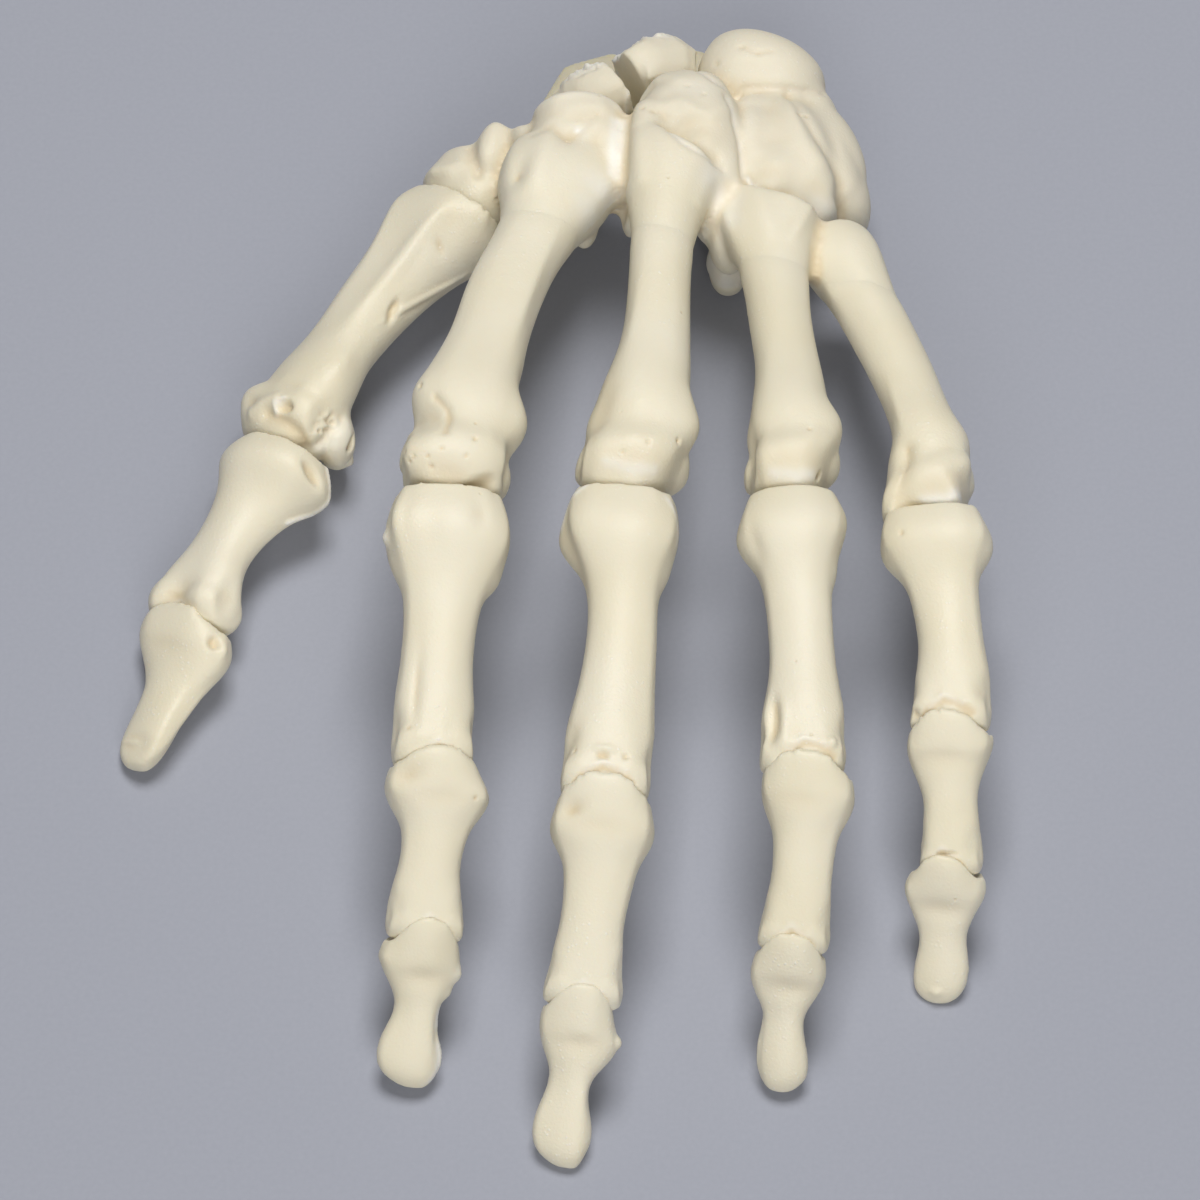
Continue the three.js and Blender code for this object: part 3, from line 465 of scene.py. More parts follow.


# the marks of each piece: along and round the long bones, and from above on the broken one. Tan in their dents,
# grooves and pits is partly painted shade
carving = {
    "index_metacarpal": [
        dict(at=(54.2, 0), size=(3.2, 40), rub=60),
        dict(at=(50.8, -74), size=(2.8, 3.0), height=0.9),
        dict(at=(56.6, -54), size=(3.4, 3.2), height=-0.7, crisp=3, tan=0.15),
        dict(path=[(53.0, -47), (54.7, -31), (56.6, -23), (59.2, -20)],
             width=0.55, height=-0.35, tan=0.3),
        dict(at=(62.6, -62), size=(2.2, 2.6), height=0.7, tan=0.3),
        dict(at=(45.2, 85), size=(3.8, 5), height=-0.8),
        dict(at=(50.9, 72), size=(3.4, 3.2), height=1.0),
        dict(at=(58.8, 80), size=(4.4, 2.2), height=-0.6),
        dict(at=(62.2, 84), size=(1.8, 2.0), height=0.4),
        dict(at=(63.5, 62), size=(1.5, 1.5), height=-0.8, crisp=3, tan=0.8),
        dict(at=(64.6, 8), size=(1.6, 5.5), height=-0.45, tan=0.55),
        dict(at=(64.5, -86), size=(2.0, 2.4), height=-0.5, crisp=3),
        pin(51.0, -64, 0.5, 0.7), pin(58.9, 17, 0.4), pin(61.9, -18, 0.35), pin(61.7, 16, 0.3),
        pin(62.7, -61, 0.4), pin(63.3, -34, 0.35), pin(63.9, -57, 0.35), pin(63.5, -50, 0.3),
        pin(64.1, -31, 0.35)],
    "middle_metacarpal": palmHead(65.7, 68.2) + [
        dict(at=(55.6, 72), size=(2.6, 3), height=0.3),
        dict(at=(60.5, 70), size=(3.6, 3.4), height=0.9),
        dict(at=(59.5, -50), size=(5.0, 2.6), height=-0.7, turn=-8, tan=0.45),
        dict(at=(66.5, 74), size=(4.0, 4.0), rub=40),
        dict(path=[(68.8, -34), (69.6, 0), (69.2, 34)], width=0.8, height=0.1, white=0.5),
        dict(at=(54.0, 85), size=(3.5, 5), height=-0.6),
        pin(64.0, 54, 0.55, 0.7), pin(65.8, 17, 0.35), pin(67.5, -14, 0.35)],
    "ring_metacarpal": palmHead(50.8, 53.2) + [
        dict(at=(47.5, 62), size=(4, 3.6), height=0.8),
        dict(at=(40.5, 80), size=(3.6, 5), height=-0.5),
        dict(at=(49.0, -66), size=(6, 2.2), height=-0.8, tan=0.4),
        dict(path=[(54.4, -36), (55.2, 0), (54.8, 34)], width=0.8, height=0.1, white=0.6),
        dict(at=(52.5, 78), size=(4.0, 4.0), rub=40),
        dict(at=(53.9, 60), size=(0.8, 0.4), height=-0.6, crisp=4, turn=-30, tan=1),
        pin(48.5, 26, 0.35)],
    "little_metacarpal": palmHead(47.9, 50.9) + [
        dict(at=(50.5, 78), size=(4.0, 4.0), rub=40),
        dict(path=[(43.5, -30), (47.0, -42), (50.0, -58), (52.0, -64)],
             width=1.2, height=-0.8, tan=0.5),
        dict(path=[(51.6, -44), (52.6, -4), (52.0, 38)], width=0.8, height=0.12, white=0.8),
        dict(at=(51.6, -76), size=(0.9, 0.8), height=0.5, crisp=3),
        dict(at=(46.5, -84), size=(3.6, 2.8), height=0.7),
        dict(at=(47.0, 62), size=(2.2, 2.2), height=0.7),
        dict(at=(49.4, 52), size=(0.9, 2.4), height=-0.3, tan=0.3),
        pin(47.9, -96, 0.5)],
    "scaphoid_distal_fragment": [
        dict(at=(1.5, 79.0), size=(5.0, 3.6), drag=(-0.3, 0, 0)),
        dict(at=(2.6, 79.0), size=(4.6, 2.6), height=0.22, seed=4),
        dict(at=(5.4, 79.2), size=(1.8, 1.7), height=0.16, white=0.9, seed=9),
        dict(path=[(7.6, 78.6), (10.6, 74.6), (10.0, 71.6)], width=0.35, height=0.18, white=0.5)],
    "scaphoid_proximal_fragment": [
        dict(at=(14.5, 83.0), size=(8.5, 5.0), crisp=3, drag=(-0.5, 0, 0)),
        dict(at=(13.0, 84.6), size=(4.6, 1.8), height=0.16, seed=6),
        dict(at=(8.4, 81.8), size=(1.5, 1.2), height=0.14, white=0.9, seed=11),
        dict(path=[(8.6, 79.6), (10.0, 77.2), (11.4, 75.2)], width=0.9, tan=0.5)],
    "thumb_metacarpal": [
        dict(at=(39.0, 0), size=(3.0, 40), rub=60),
        dict(at=(7.5, 53), size=(4.0, 2.6), height=-0.9, turn=20, tan=0.15),
        dict(at=(11.5, 58), size=(1.4, 0.7), height=-0.35, turn=60, tan=0.2),
        dict(at=(4.2, 74), size=(1.6, 0.9), height=0.4, turn=40),
        dict(at=(16.0, 29), size=(6.5, 1.1), height=0.35),
        dict(at=(23.4, 66), size=(1.8, 0.7), height=-0.8, crisp=3, turn=15, tan=0.7),
        dict(at=(18.0, 95), size=(8.0, 0.5), height=0.3, crisp=3, turn=-20),
        dict(at=(44.2, -56), size=(2.6, 2.6), height=1.2),
        dict(at=(46.0, -34), size=(1.2, 1.5), height=-0.4),
        dict(at=(45.7, 30), size=(0.95, 1.4), height=-1.1, crisp=5, tan=0.9),
        dict(path=[(44.7, 24), (45.7, 16), (46.9, 21)], width=0.45, height=0.35, white=0.7),
        dict(path=[(44.9, 10), (46.2, -10), (47.4, -28)], width=0.9, height=0.5),
        dict(path=[(47.4, 8), (47.6, 40), (47.9, 64), (48.2, 88)], width=1.0, height=-0.8, tan=0.9),
        dict(at=(44.2, 86), size=(2.4, 1.9), height=0.14, white=0.1, seed=12),
        pin(43.6, 83, 0.7, 0.7), pin(44.7, 89, 0.6, 0.6), pin(42.9, 91, 0.5), pin(45.5, 84, 0.5),
        dict(path=[(41.8, 97), (44.0, 95), (45.8, 94), (48.2, 98)], width=0.7, height=-0.4, tan=0.2),
        dict(path=[(42.2, 104), (45.0, 102), (47.6, 104)], width=1.6, height=0.25, white=0.4),
        dict(at=(43.1, 116), size=(1.2, 0.6), height=-1.2, crisp=4, tan=0.6)],
    "thumb_proximal_phalanx": fingerHead(31.1, 34.6, 4.5) + [
        dict(at=(3.5, 0), size=(2.2, 16), drag=(0.5, 0, 0)),
        dict(at=(4.0, 165), size=(4.0, 7.0), height=-0.45),
        dict(at=(2.4, 130), size=(3.0, 3.4), height=-0.6),
        dict(at=(25.0, 180), size=(4.0, 5.0), height=-0.35),
        dict(at=(8.3, 89), size=(2.0, 0.95), height=-0.7, crisp=4, turn=67, tan=0.35),
        dict(path=[(5.5, 108), (8.5, 118), (12.0, 122), (15.0, 112)],
             width=0.4, height=0.35, white=0.9),
        dict(at=(32.2, -12), size=(2.4, 1.6), height=-0.9, turn=-30, tan=0.8),
        dict(at=(33.0, 18), size=(1.0, 3.0), height=-0.4, turn=-20, tan=0.6),
        dict(at=(9.0, 108), size=(2.6, 1.6), height=0.3)],
    "thumb_distal_phalanx": base(3.4, 5, 0.5) + [
        dict(at=(3.0, 180), size=(3.5, 6.0), height=-0.45),
        dict(at=(6.0, 80), size=(0.9, 0.8), height=-0.9, crisp=4, tan=0.8),
        dict(at=(6.4, 92), size=(1.2, 0.5), height=0.35),
        dict(at=(15.5, 100), size=(5.0, 0.6), height=0.35, turn=-10),
        dict(at=(22.5, 10), size=(1.8, 3.0), height=-0.45, crisp=3),
        dict(at=(22.0, -28), size=(0.4, 1.8), height=0.3, crisp=3)],
    "index_proximal_phalanx": fingerHead(41.6, 44.2, 4.2) + [
        dict(at=(10.0, -62), size=(4.0, 0.8), height=0.4),
        dict(at=(11.5, -30), size=(4.5, 2.2), height=-0.35),
        dict(at=(9.6, 30), size=(2.2, 1.2), height=-0.3),
        dict(at=(17.0, 98), size=(2.4, 2.4), height=0.8),
        dict(at=(16.0, -98), size=(3.0, 2.4), height=0.5),
        dict(at=(12.3, -84), size=(1.0, 0.9), height=0.6, white=0.6),
        dict(at=(35.5, -48), size=(5.5, 0.7), height=-0.35, tan=0.15),
        pin(40.6, -54, 0.4, 0.3)],
    "middle_proximal_phalanx": fingerHead(46.5, 48.2, 4.6) + [
        dict(at=(12.5, -54), size=(5.0, 1.8), height=0.25),
        dict(at=(14.5, -76), size=(4.5, 2.2), height=-0.35, tan=0.4),
        dict(at=(12.0, -98), size=(3.4, 2.8), height=1.2),
        dict(at=(16.5, 98), size=(2.6, 2.4), height=0.6),
        # painted highlights: white lines along the shoulders of the base, where the light catches the rim
        dict(path=[(10.5, -86), (7.6, -76), (5.8, -56)], width=0.5, height=0.15, white=0.8),
        dict(path=[(6.6, 52), (9.0, 66), (12.0, 78)], width=0.5, height=0.1, white=0.7),
        dict(at=(42.6, -62), size=(2.2, 1.5), height=-0.6, tan=0.3),
        dict(at=(45.3, -6), size=(0.5, 0.8), height=-0.5, crisp=3, tan=1),
        dict(at=(44.3, -4), size=(0.5, 1.6), height=0.3),
        pin(45.2, 33, 0.45), pin(44.5, -54, 0.4)],
    "ring_proximal_phalanx": fingerHead(43.0, 44.6, 4.4) + [
        dict(at=(11.5, -88), size=(3.0, 2.8), height=0.8),
        dict(at=(8.5, 84), size=(2.4, 2.4), height=0.5),
        dict(at=(13.2, -56), size=(3.0, 1.4), height=-0.45, tan=0.1),
        dict(at=(16.5, 98), size=(2.4, 2.4), height=0.6),
        dict(at=(39.8, -54), size=(3.4, 1.0), height=-1.0, crisp=3, tan=0.3),
        dict(at=(40.6, -38), size=(3.0, 0.7), height=0.3),
        dict(at=(43.3, 44), size=(0.7, 0.6), height=0.5, crisp=3)],
    "little_proximal_phalanx": fingerHead(33.5, 34.6, 3.9) + [
        pin(8.8, -44, 0.45, 0.4),
        dict(at=(10.5, -92), size=(2.6, 2.4), height=0.6),
        dict(at=(10.5, 92), size=(2.6, 2.4), height=0.6),
        dict(at=(34.6, -62), size=(0.9, 0.9), height=-0.6, tan=0.7)],
    "index_middle_phalanx": fingerHead(23.3, 24.6, 3.6) + base(2.4, 5.0, 1.0) + [
        dict(at=(4.2, -46), size=(1.4, 2.0), height=-0.55, turn=30, tan=0.5),
        pin(6.8, 52, 0.4, 0.35)],
    "middle_middle_phalanx": fingerHead(28.0, 29.6, 3.9) + base(2.6, 5.4, 1.3) + [
        dict(at=(5.2, -42), size=(1.1, 1.6), height=-0.6, turn=30, tan=0.6)],
    "ring_middle_phalanx": fingerHead(23.9, 25.2, 3.7) + base(2.2, 5.2, 1.2),
    "little_middle_phalanx": fingerHead(19.4, 20.4, 3.2) + base(2.0, 4.4, 0.9) + [
        dict(at=(19.2, 8), size=(0.35, 1.6), height=-0.4, crisp=3, tan=0.7)],
    "index_distal_phalanx": base(2.6, 3.8, 1.9) + [
        # raised flash lines along the side, painted white partly as their own white and partly as painted
        # highlight where the light grazes the rim
        dict(at=(6.6, 82), size=(1.2, 0.9), height=0.7, white=0.4),
        dict(at=(9.2, 84), size=(1.0, 0.8), height=0.45),
        dict(path=[(11.5, 76), (13.5, 78)], width=0.6, height=0.15, white=0.9),
        dict(path=[(16.5, 80), (19.0, 78), (21.0, 70)], width=0.6, height=0.15, white=0.9),
        dict(at=(16.0, 88), size=(4.5, 0.5), height=0.35, crisp=3)],
    "middle_distal_phalanx": base(2.8, 4.0, 1.9) + [
        dict(at=(6.7, 88), size=(0.8, 0.7), height=0.5, crisp=3)],
    "ring_distal_phalanx": base(2.4, 3.8, 1.6) + [
        dict(at=(20.2, 0), size=(4.0, 16), drag=(1.2, 0, 0)),
        dict(at=(16.6, -88), size=(4.0, 0.5), height=0.35, crisp=3)],
    "little_distal_phalanx": base(2.2, 3.4, 1.4) + [
        dict(at=(18.6, 0), size=(4.0, 16), drag=(1.2, 0, 0)),
        dict(at=(18.4, 0), size=(0.6, 0.8), height=0.3, crisp=3)],
}


# how far the two sides of each long bone stand out beyond the CAD's: how far along it, in mm from its
# near hinge, then on the thumb's side and on the little finger's side
sides = {
    "thumb_metacarpal": [
        (2, 0, 0), (8, 1.4, 0), (16, 2, 0.8), (24, 1.8, 0), (30, 0.8, -0.9), (36, -0.9, -1.8),
        (43, -0.3, -0.6)],
    "thumb_proximal_phalanx": [
        (0, 0, 0), (4, -0.9, 2.4), (7, -0.8, 1.2), (11, -0.3, 3.4), (15, 0.5, 2.6), (20, 0.6, 0.8),
        (25, 0.4, -0.9), (31, 1.2, 0.4)],
    "thumb_distal_phalanx": [
        (1, 1, 0.6), (4, 1.6, 0.6), (7, 0.8, 1.2), (10, 0.2, 1.6), (14, -0.3, 0.8), (18, -0.4, -0.6),
        (24, -0.3, -1)],
    "index_metacarpal": [
        (14, 0, -0.2), (21, 1.8, -0.5), (30, 3, -0.8), (38, 2, -0.9), (46, 1.5, -0.9), (52, 0.3, -0.4),
        (58, 0, 0), (64, 0, -0.4)],
    "index_proximal_phalanx": [
        (2, 0.4, -0.2), (6, 0.8, -0.3), (11, 0.8, -0.3), (15, 1.2, 0.6), (21, 0.9, -0.7), (32, 1, -1.2),
        (37, 1.1, -0.9), (41, 1.3, -0.4)],
    "index_middle_phalanx": [
        (1, 0.6, -1.2), (5, 0.5, -0.1), (8, 0.2, 1.0), (12, 0.5, 0.4), (15, 0.5, -0.1), (18, 0.8, -0.8),
        (22, 1.3, 0.2)],
    "index_distal_phalanx": [
        (1, 1.2, 0), (5, 1, -1), (9, 0.5, 0.2), (12, 1.1, -1.1), (16, 1.7, -0.9), (21, 1, -0.6)],
    "middle_metacarpal": [
        (26, 0, 0.3), (33, -0.3, 0.6), (43, -0.7, 1.5), (51, -1.1, 0.7), (58, -1.1, 0), (63, 0.4, 0.3),
        (66, 0.8, -0.3), (69, 0.8, -1.6), (72, 0.6, -2.4)],
    "middle_proximal_phalanx": [
        (2, 0.4, -0.5), (6, 1.4, -0.7), (10, 0.6, -0.7), (16, -0.5, -1.5), (23, -0.8, 0.3),
        (30, -0.5, 0.8), (41, 0, 0.1), (45, 0.5, 0.6)],
    "middle_middle_phalanx": [
        (1, 0.5, 0.5), (4, -0.4, 0.2), (7, 0, 0.3), (14, 0, 1.1), (18, 0, 0.1), (22, -0.1, -0.4),
        (28, 1.3, 0.4)],
    "middle_distal_phalanx": [
        (1, 1.1, -0.1), (4, 0.8, -1.2), (6, 0.3, -0.4), (9, 1, 1.5), (13, 1.1, -1.8), (17, 1.5, -0.7),
        (23, 0.8, -1.1)],
    "ring_metacarpal": [
        (18, 0.8, 0.4), (25, 0.7, 0.4), (33, -0.3, 0.8), (40, -0.7, 0.3), (45, -0.6, 0.1),
        (49, 0.4, 0.2), (52, 0.6, -1.8), (56, 0.4, -2)],
    "ring_proximal_phalanx": [
        (2, 0.4, -0.4), (6, 0.5, -0.6), (10, 0.6, -0.7), (15, -0.3, -1.7), (21, 0.2, -0.2),
        (33, -0.2, -0.4), (38, 0.7, -0.3), (42, 1.4, 0)],
    "ring_middle_phalanx": [
        (1, 1.2, 0.1), (3, 0.4, 0.8), (5, -0.2, 0.7), (8, -0.7, 0.4), (12, -0.1, 1), (16, -0.4, 0.6),
        (19, -0.6, 0.1), (23, 0.5, 0.4)],
    "ring_distal_phalanx": [
        (1, 0.7, 0.7), (5, 0.2, -0.4), (8, 2.3, 1.5), (11, 0.8, -0.7), (14, 0.1, -0.5),
        (18, -0.3, 0.4)],
    "little_metacarpal": [
        (0, 0, -1.2), (10, 0.2, -0.9), (17, 0.6, -0.3), (24, 0.2, 0), (31, -0.6, 0.2), (37, -1.7, -0.7),
        (42, -1.1, -0.4), (46, 1.4, -0.6), (49, 3, -1.6), (52, 3.4, -2)],
    "little_proximal_phalanx": [
        (2, 1.6, 0), (5, 1.6, -1), (8, 1, -0.4), (12, 0.7, -0.9), (17, 0.1, 0.5), (22, -0.5, 0.7),
        (26, -1, 0.7), (30, -0.3, 0.9), (33, 0.6, 0.9)],
    "little_middle_phalanx": [
        (1, 0.6, 0.8), (3, 0.1, 1.1), (5, 0, 0.4), (7, 0.6, 0.4), (13, -0.6, 0.7), (19, -0.1, 1.2)],
    "little_distal_phalanx": [
        (1, 0, 1.2), (4, 0.4, 0.7), (7, 1.1, 1), (10, -0.1, 0), (13, -0.3, 0.6), (18, 0.3, 0.3)],
}
seenFrom = np.array((0, -0.51, 0.86))  # from the hand towards the camera
widening = {"smooth": 1.2, "breadth": 9, "room": (1.3, 3.3)}


# moves the two sides of a long bone out or in, across the view. Its middle stays where it is, because
# the bore for the strand is there
def widened(piece, node, look):
    skin = LongBone(piece, node)
    across = np.cross(skin.axis, seenFrom)
    across = across * math.copysign(1, across[0]) / np.linalg.norm(across)
    reach = skin.place - skin.start
    along, aside = reach @ skin.axis, reach @ across
    stations, *outs = np.array(sides[node], float).T
    around = [along + step for step in (-look["smooth"], 0, look["smooth"])]
    thumbSide, farSide = [np.mean([np.interp(at, stations, out) for at in around], axis=0) for out in outs]
    share = np.clip(0.5 + aside / look["breadth"], 0, 1)
    room = ramp(np.abs(reach @ skin.side), *look["room"])
    skin.place += across * (room * (farSide * share - thumbSide * (1 - share)))[:, None]
    skin.readNormals()


# the seams, ridges, dents and pits of the wrist, seen from above, in mm. The tan put into its dents, hollows and
# pits is partly painted shade
wristCarving = [
    # edges rubbed down
    dict(at=(36.5, 64.5), size=(6.5, 9.0), crisp=4, rub=14),
    dict(at=(20.5, 63.0), size=(5.0, 7.0), crisp=4, rub=8),
    dict(at=(1.5, 62.0), size=(6.0, 4.0), crisp=4, rub=10),
    dict(at=(31.8, 59.0), size=(5.0, 4.5), crisp=4, rub=26),
    dict(at=(17.4, 64.6), size=(3.0, 3.0), rub=20),
    dict(at=(39.0, 70.0), size=(3.6, 4.6), rub=45),
    # the far rows sit a little nearer the thumb and further back than the CAD's plain bones, and the
    # thumb's corner nearer the fingers
    dict(at=(36.5, 80.0), size=(6.0, 6.0), drag=(0, 0, -0.8)),
    dict(at=(44.5, 65.5), size=(5.5, 10.0), drag=(0, 0, -0.8)),
    dict(at=(25.0, 84.5), size=(6.0, 4.0), drag=(-0.4, 0, 0)),
    dict(at=(-8.8, 65.8), size=(2.6, 2.6), drag=(-2.2, 0, 0)),
    dict(at=(-15.5, 65.0), size=(3.2, 2.2), drag=(1.3, 0, 0.3)),
    # what that left uneven, rubbed down once more
    dict(at=(29.6, 60.2), size=(3.6, 4.0), rub=30),
    dict(at=(17.6, 66.0), size=(3.6, 2.6), rub=24),
    # seams with glue in them
    dict(path=[(16.0, 60.0), (18.1, 57.4), (19.9, 56.3), (22.2, 55.8), (23.9, 55.6)],
         width=0.45, height=-0.3, white=0.5),
    dict(path=[(24.6, 68.8), (25.5, 64.8), (26.4, 61.5), (26.7, 57.7), (26.9, 56.0)],
         width=0.5, height=-0.45, white=0.5),
    dict(path=[(18.6, 76.4), (20.9, 73.3), (22.7, 71.4), (25.4, 70.4)],
         width=0.5, height=-0.35, white=0.4),
    dict(path=[(25.4, 72.0), (27.0, 73.8), (31.6, 73.4), (35.7, 73.7), (38.9, 75.0)],
         width=0.55, height=-0.45, tan=0.25, white=0.3),
    dict(path=[(33.6, 72.6), (35.5, 66.8), (37.2, 63.4), (39.4, 60.2), (40.9, 57.8), (40.8, 55.0)],
         width=0.9, height=-0.5, tan=0.15),
    dict(path=[(27.4, 56.0), (28.8, 53.2), (31.4, 52.4), (34.0, 51.6), (36.6, 50.2)],
         width=0.4, height=-0.35, white=0.9),
    dict(path=[(10.6, 68.4), (10.0, 63.9), (9.9, 57.5), (9.7, 54.0)], width=0.9, height=-0.6, tan=0.3),
    dict(path=[(8.9, 64.2), (8.7, 60.9), (8.3, 55.6)], width=1.1, crisp=3, white=0.9),
    # base of the index palm bone: two prongs and the valley between them, the dimple, and the soft
    # ridge down from it
    dict(path=[(-3.2, 61.6), (-0.7, 62.6), (0.7, 61.2), (1.7, 60.4), (2.8, 61.4), (4.4, 63.0)],
         width=0.9, height=-0.3, tan=0.1),
    dict(at=(1.8, 60.8), size=(1.8, 1.8), height=-0.45, tan=0.15),
    dict(at=(3.2, 62.2), size=(0.7, 0.5), height=-0.2, white=1),
    dict(at=(-5.4, 53.0), size=(1.5, 3.6), height=-0.6, turn=-15),
    dict(at=(-5.3, 53.4), size=(0.5, 0.4), height=-0.3, turn=-40),
    dict(path=[(-0.9, 60.4), (-1.8, 57.0), (-2.8, 54.0), (-3.8, 50.4)], width=1.8, height=0.45),
    dict(at=(-8.0, 55.0), size=(1.6, 4.0), height=0.3),
    # trapezoid: its rim and tan dents
    dict(path=[(-2.6, 68.0), (0.0, 68.0), (4.7, 68.6), (8.0, 68.2), (10.0, 67.0)],
         width=0.8, height=0.4, white=0.2),
    dict(at=(4.4, 64.3), size=(3.2, 1.1), height=-0.5, turn=10, tan=0.45),
    dict(at=(-0.6, 65.2), size=(2.4, 1.0), height=-0.3, turn=-20, tan=0.25),
    dict(at=(6.0, 64.8), size=(0.3, 0.25), height=-0.3, tan=1),
    # trapezium: the groove between its bumps
    dict(path=[(-12.6, 66.0), (-12.2, 63.0), (-11.2, 60.2)],
         width=0.9, height=-0.7, white=0.15, tan=0.2),
    # capitate: the step with the tan foot below it, and dots
    dict(path=[(13.4, 66.4), (15.6, 65.8), (17.8, 66.4), (20.0, 64.4), (22.0, 64.0), (24.4, 66.0)],
         width=1.2, height=0.35),
    dict(at=(21.0, 61.4), size=(3.2, 2.6), height=-0.3, tan=0.45),
    dict(at=(18.4, 62.6), size=(1.6, 1.4), height=-0.3, tan=0.3),
    dict(at=(20.4, 69.2), size=(3.2, 2.0), height=-0.3, white=0.25),
    dict(at=(21.2, 67.9), size=(0.28, 0.25), height=-0.35, tan=1),
    dict(at=(18.9, 69.5), size=(0.25, 0.25), height=-0.35, tan=1),
    dict(at=(12.4, 65.0), size=(0.35, 0.3), height=-0.35, tan=1),
    dict(at=(13.9, 64.4), size=(0.5, 0.3), height=-0.35, tan=1),
    dict(at=(19.9, 59.2), size=(0.3, 0.3), height=-0.3, tan=1),
    dict(at=(15.6, 63.6), size=(1.4, 0.7), height=-0.3, tan=0.5, turn=-50),
    # the two edges of the middle palm bone's base
    dict(path=[(11.6, 62.0), (11.6, 57.0), (11.8, 52.0)], width=1.1, height=0.4),
    dict(path=[(23.0, 54.8), (21.4, 51.6), (20.4, 48.6)], width=0.9, height=0.35),
    # hamate: two ridges, the groove between, tan hollows
    dict(path=[(27.3, 71.6), (27.7, 65.0), (28.6, 60.6)], width=1.6, height=0.35, white=0.15),
    dict(path=[(31.9, 70.4), (31.5, 66.0), (31.4, 62.6)], width=2.2, height=-0.4),
    dict(path=[(34.0, 70.4), (34.4, 66.0), (35.4, 62.0), (37.6, 58.8)], width=1.4, height=0.4),
    dict(at=(29.0, 61.6), size=(1.6, 3.4), height=-0.3, tan=0.4),
    dict(at=(30.6, 56.2), size=(3.2, 1.4), height=-0.3, tan=0.45),
    dict(at=(37.3, 54.6), size=(1.8, 1.2), height=-0.2, tan=0.4),
    dict(at=(35.1, 67.2), size=(0.35, 0.3), height=-0.35, tan=1),
    dict(at=(36.1, 67.3), size=(0.3, 0.25), height=-0.35, tan=1),
    # lunate: a row of pits, a dimple, a soft dent
    dict(path=[(26.9, 80.2), (28.2, 79.2), (29.4, 78.8), (31.2, 79.1)],
         width=0.4, height=-0.14, tan=0.5),
    dict(at=(26.9, 80.0), size=(0.4, 0.25), height=-0.3, tan=1),
    dict(at=(29.3, 78.8), size=(0.5, 0.25), height=-0.3, tan=1),
    dict(at=(23.2, 78.2), size=(0.5, 0.4), height=-0.3, tan=0.5),
    dict(at=(28.6, 76.6), size=(4.0, 1.4), height=-0.3),
    # the root of the ring palm bone and the whitish hollow on its left
    dict(path=[(27.9, 54.4), (28.6, 51.6), (29.4, 47.6), (30.4, 42.0)], width=1.5, height=0.25),
    dict(path=[(36.0, 49.6), (34.8, 46.4), (33.6, 43.4)], width=0.8, height=0.4),
    dict(at=(25.2, 51.4), size=(1.6, 4.4), height=-0.5, white=0.5),
    # whitish glue in the gaps between the palm bones
    dict(at=(7.4, 52.6), size=(3.0, 2.4), white=0.8),
    dict(at=(5.0, 49.0), size=(2.2, 2.6), white=0.6),
    dict(at=(22.8, 52.6), size=(2.0, 3.0), white=0.8),
    dict(at=(38.2, 52.4), size=(2.6, 1.6), height=-0.2, white=0.7),
    dict(at=(24.6, 48.6), size=(1.8, 2.6), white=0.6),
]


# masses joined on and flat cuts made before the facets are rounded off, in this order and in mm
def lump(at, size, turn=0):
    return {"lump": at, "size": size, "turn": turn}


def cut(at, away):
    return {"cut": at, "away": away}


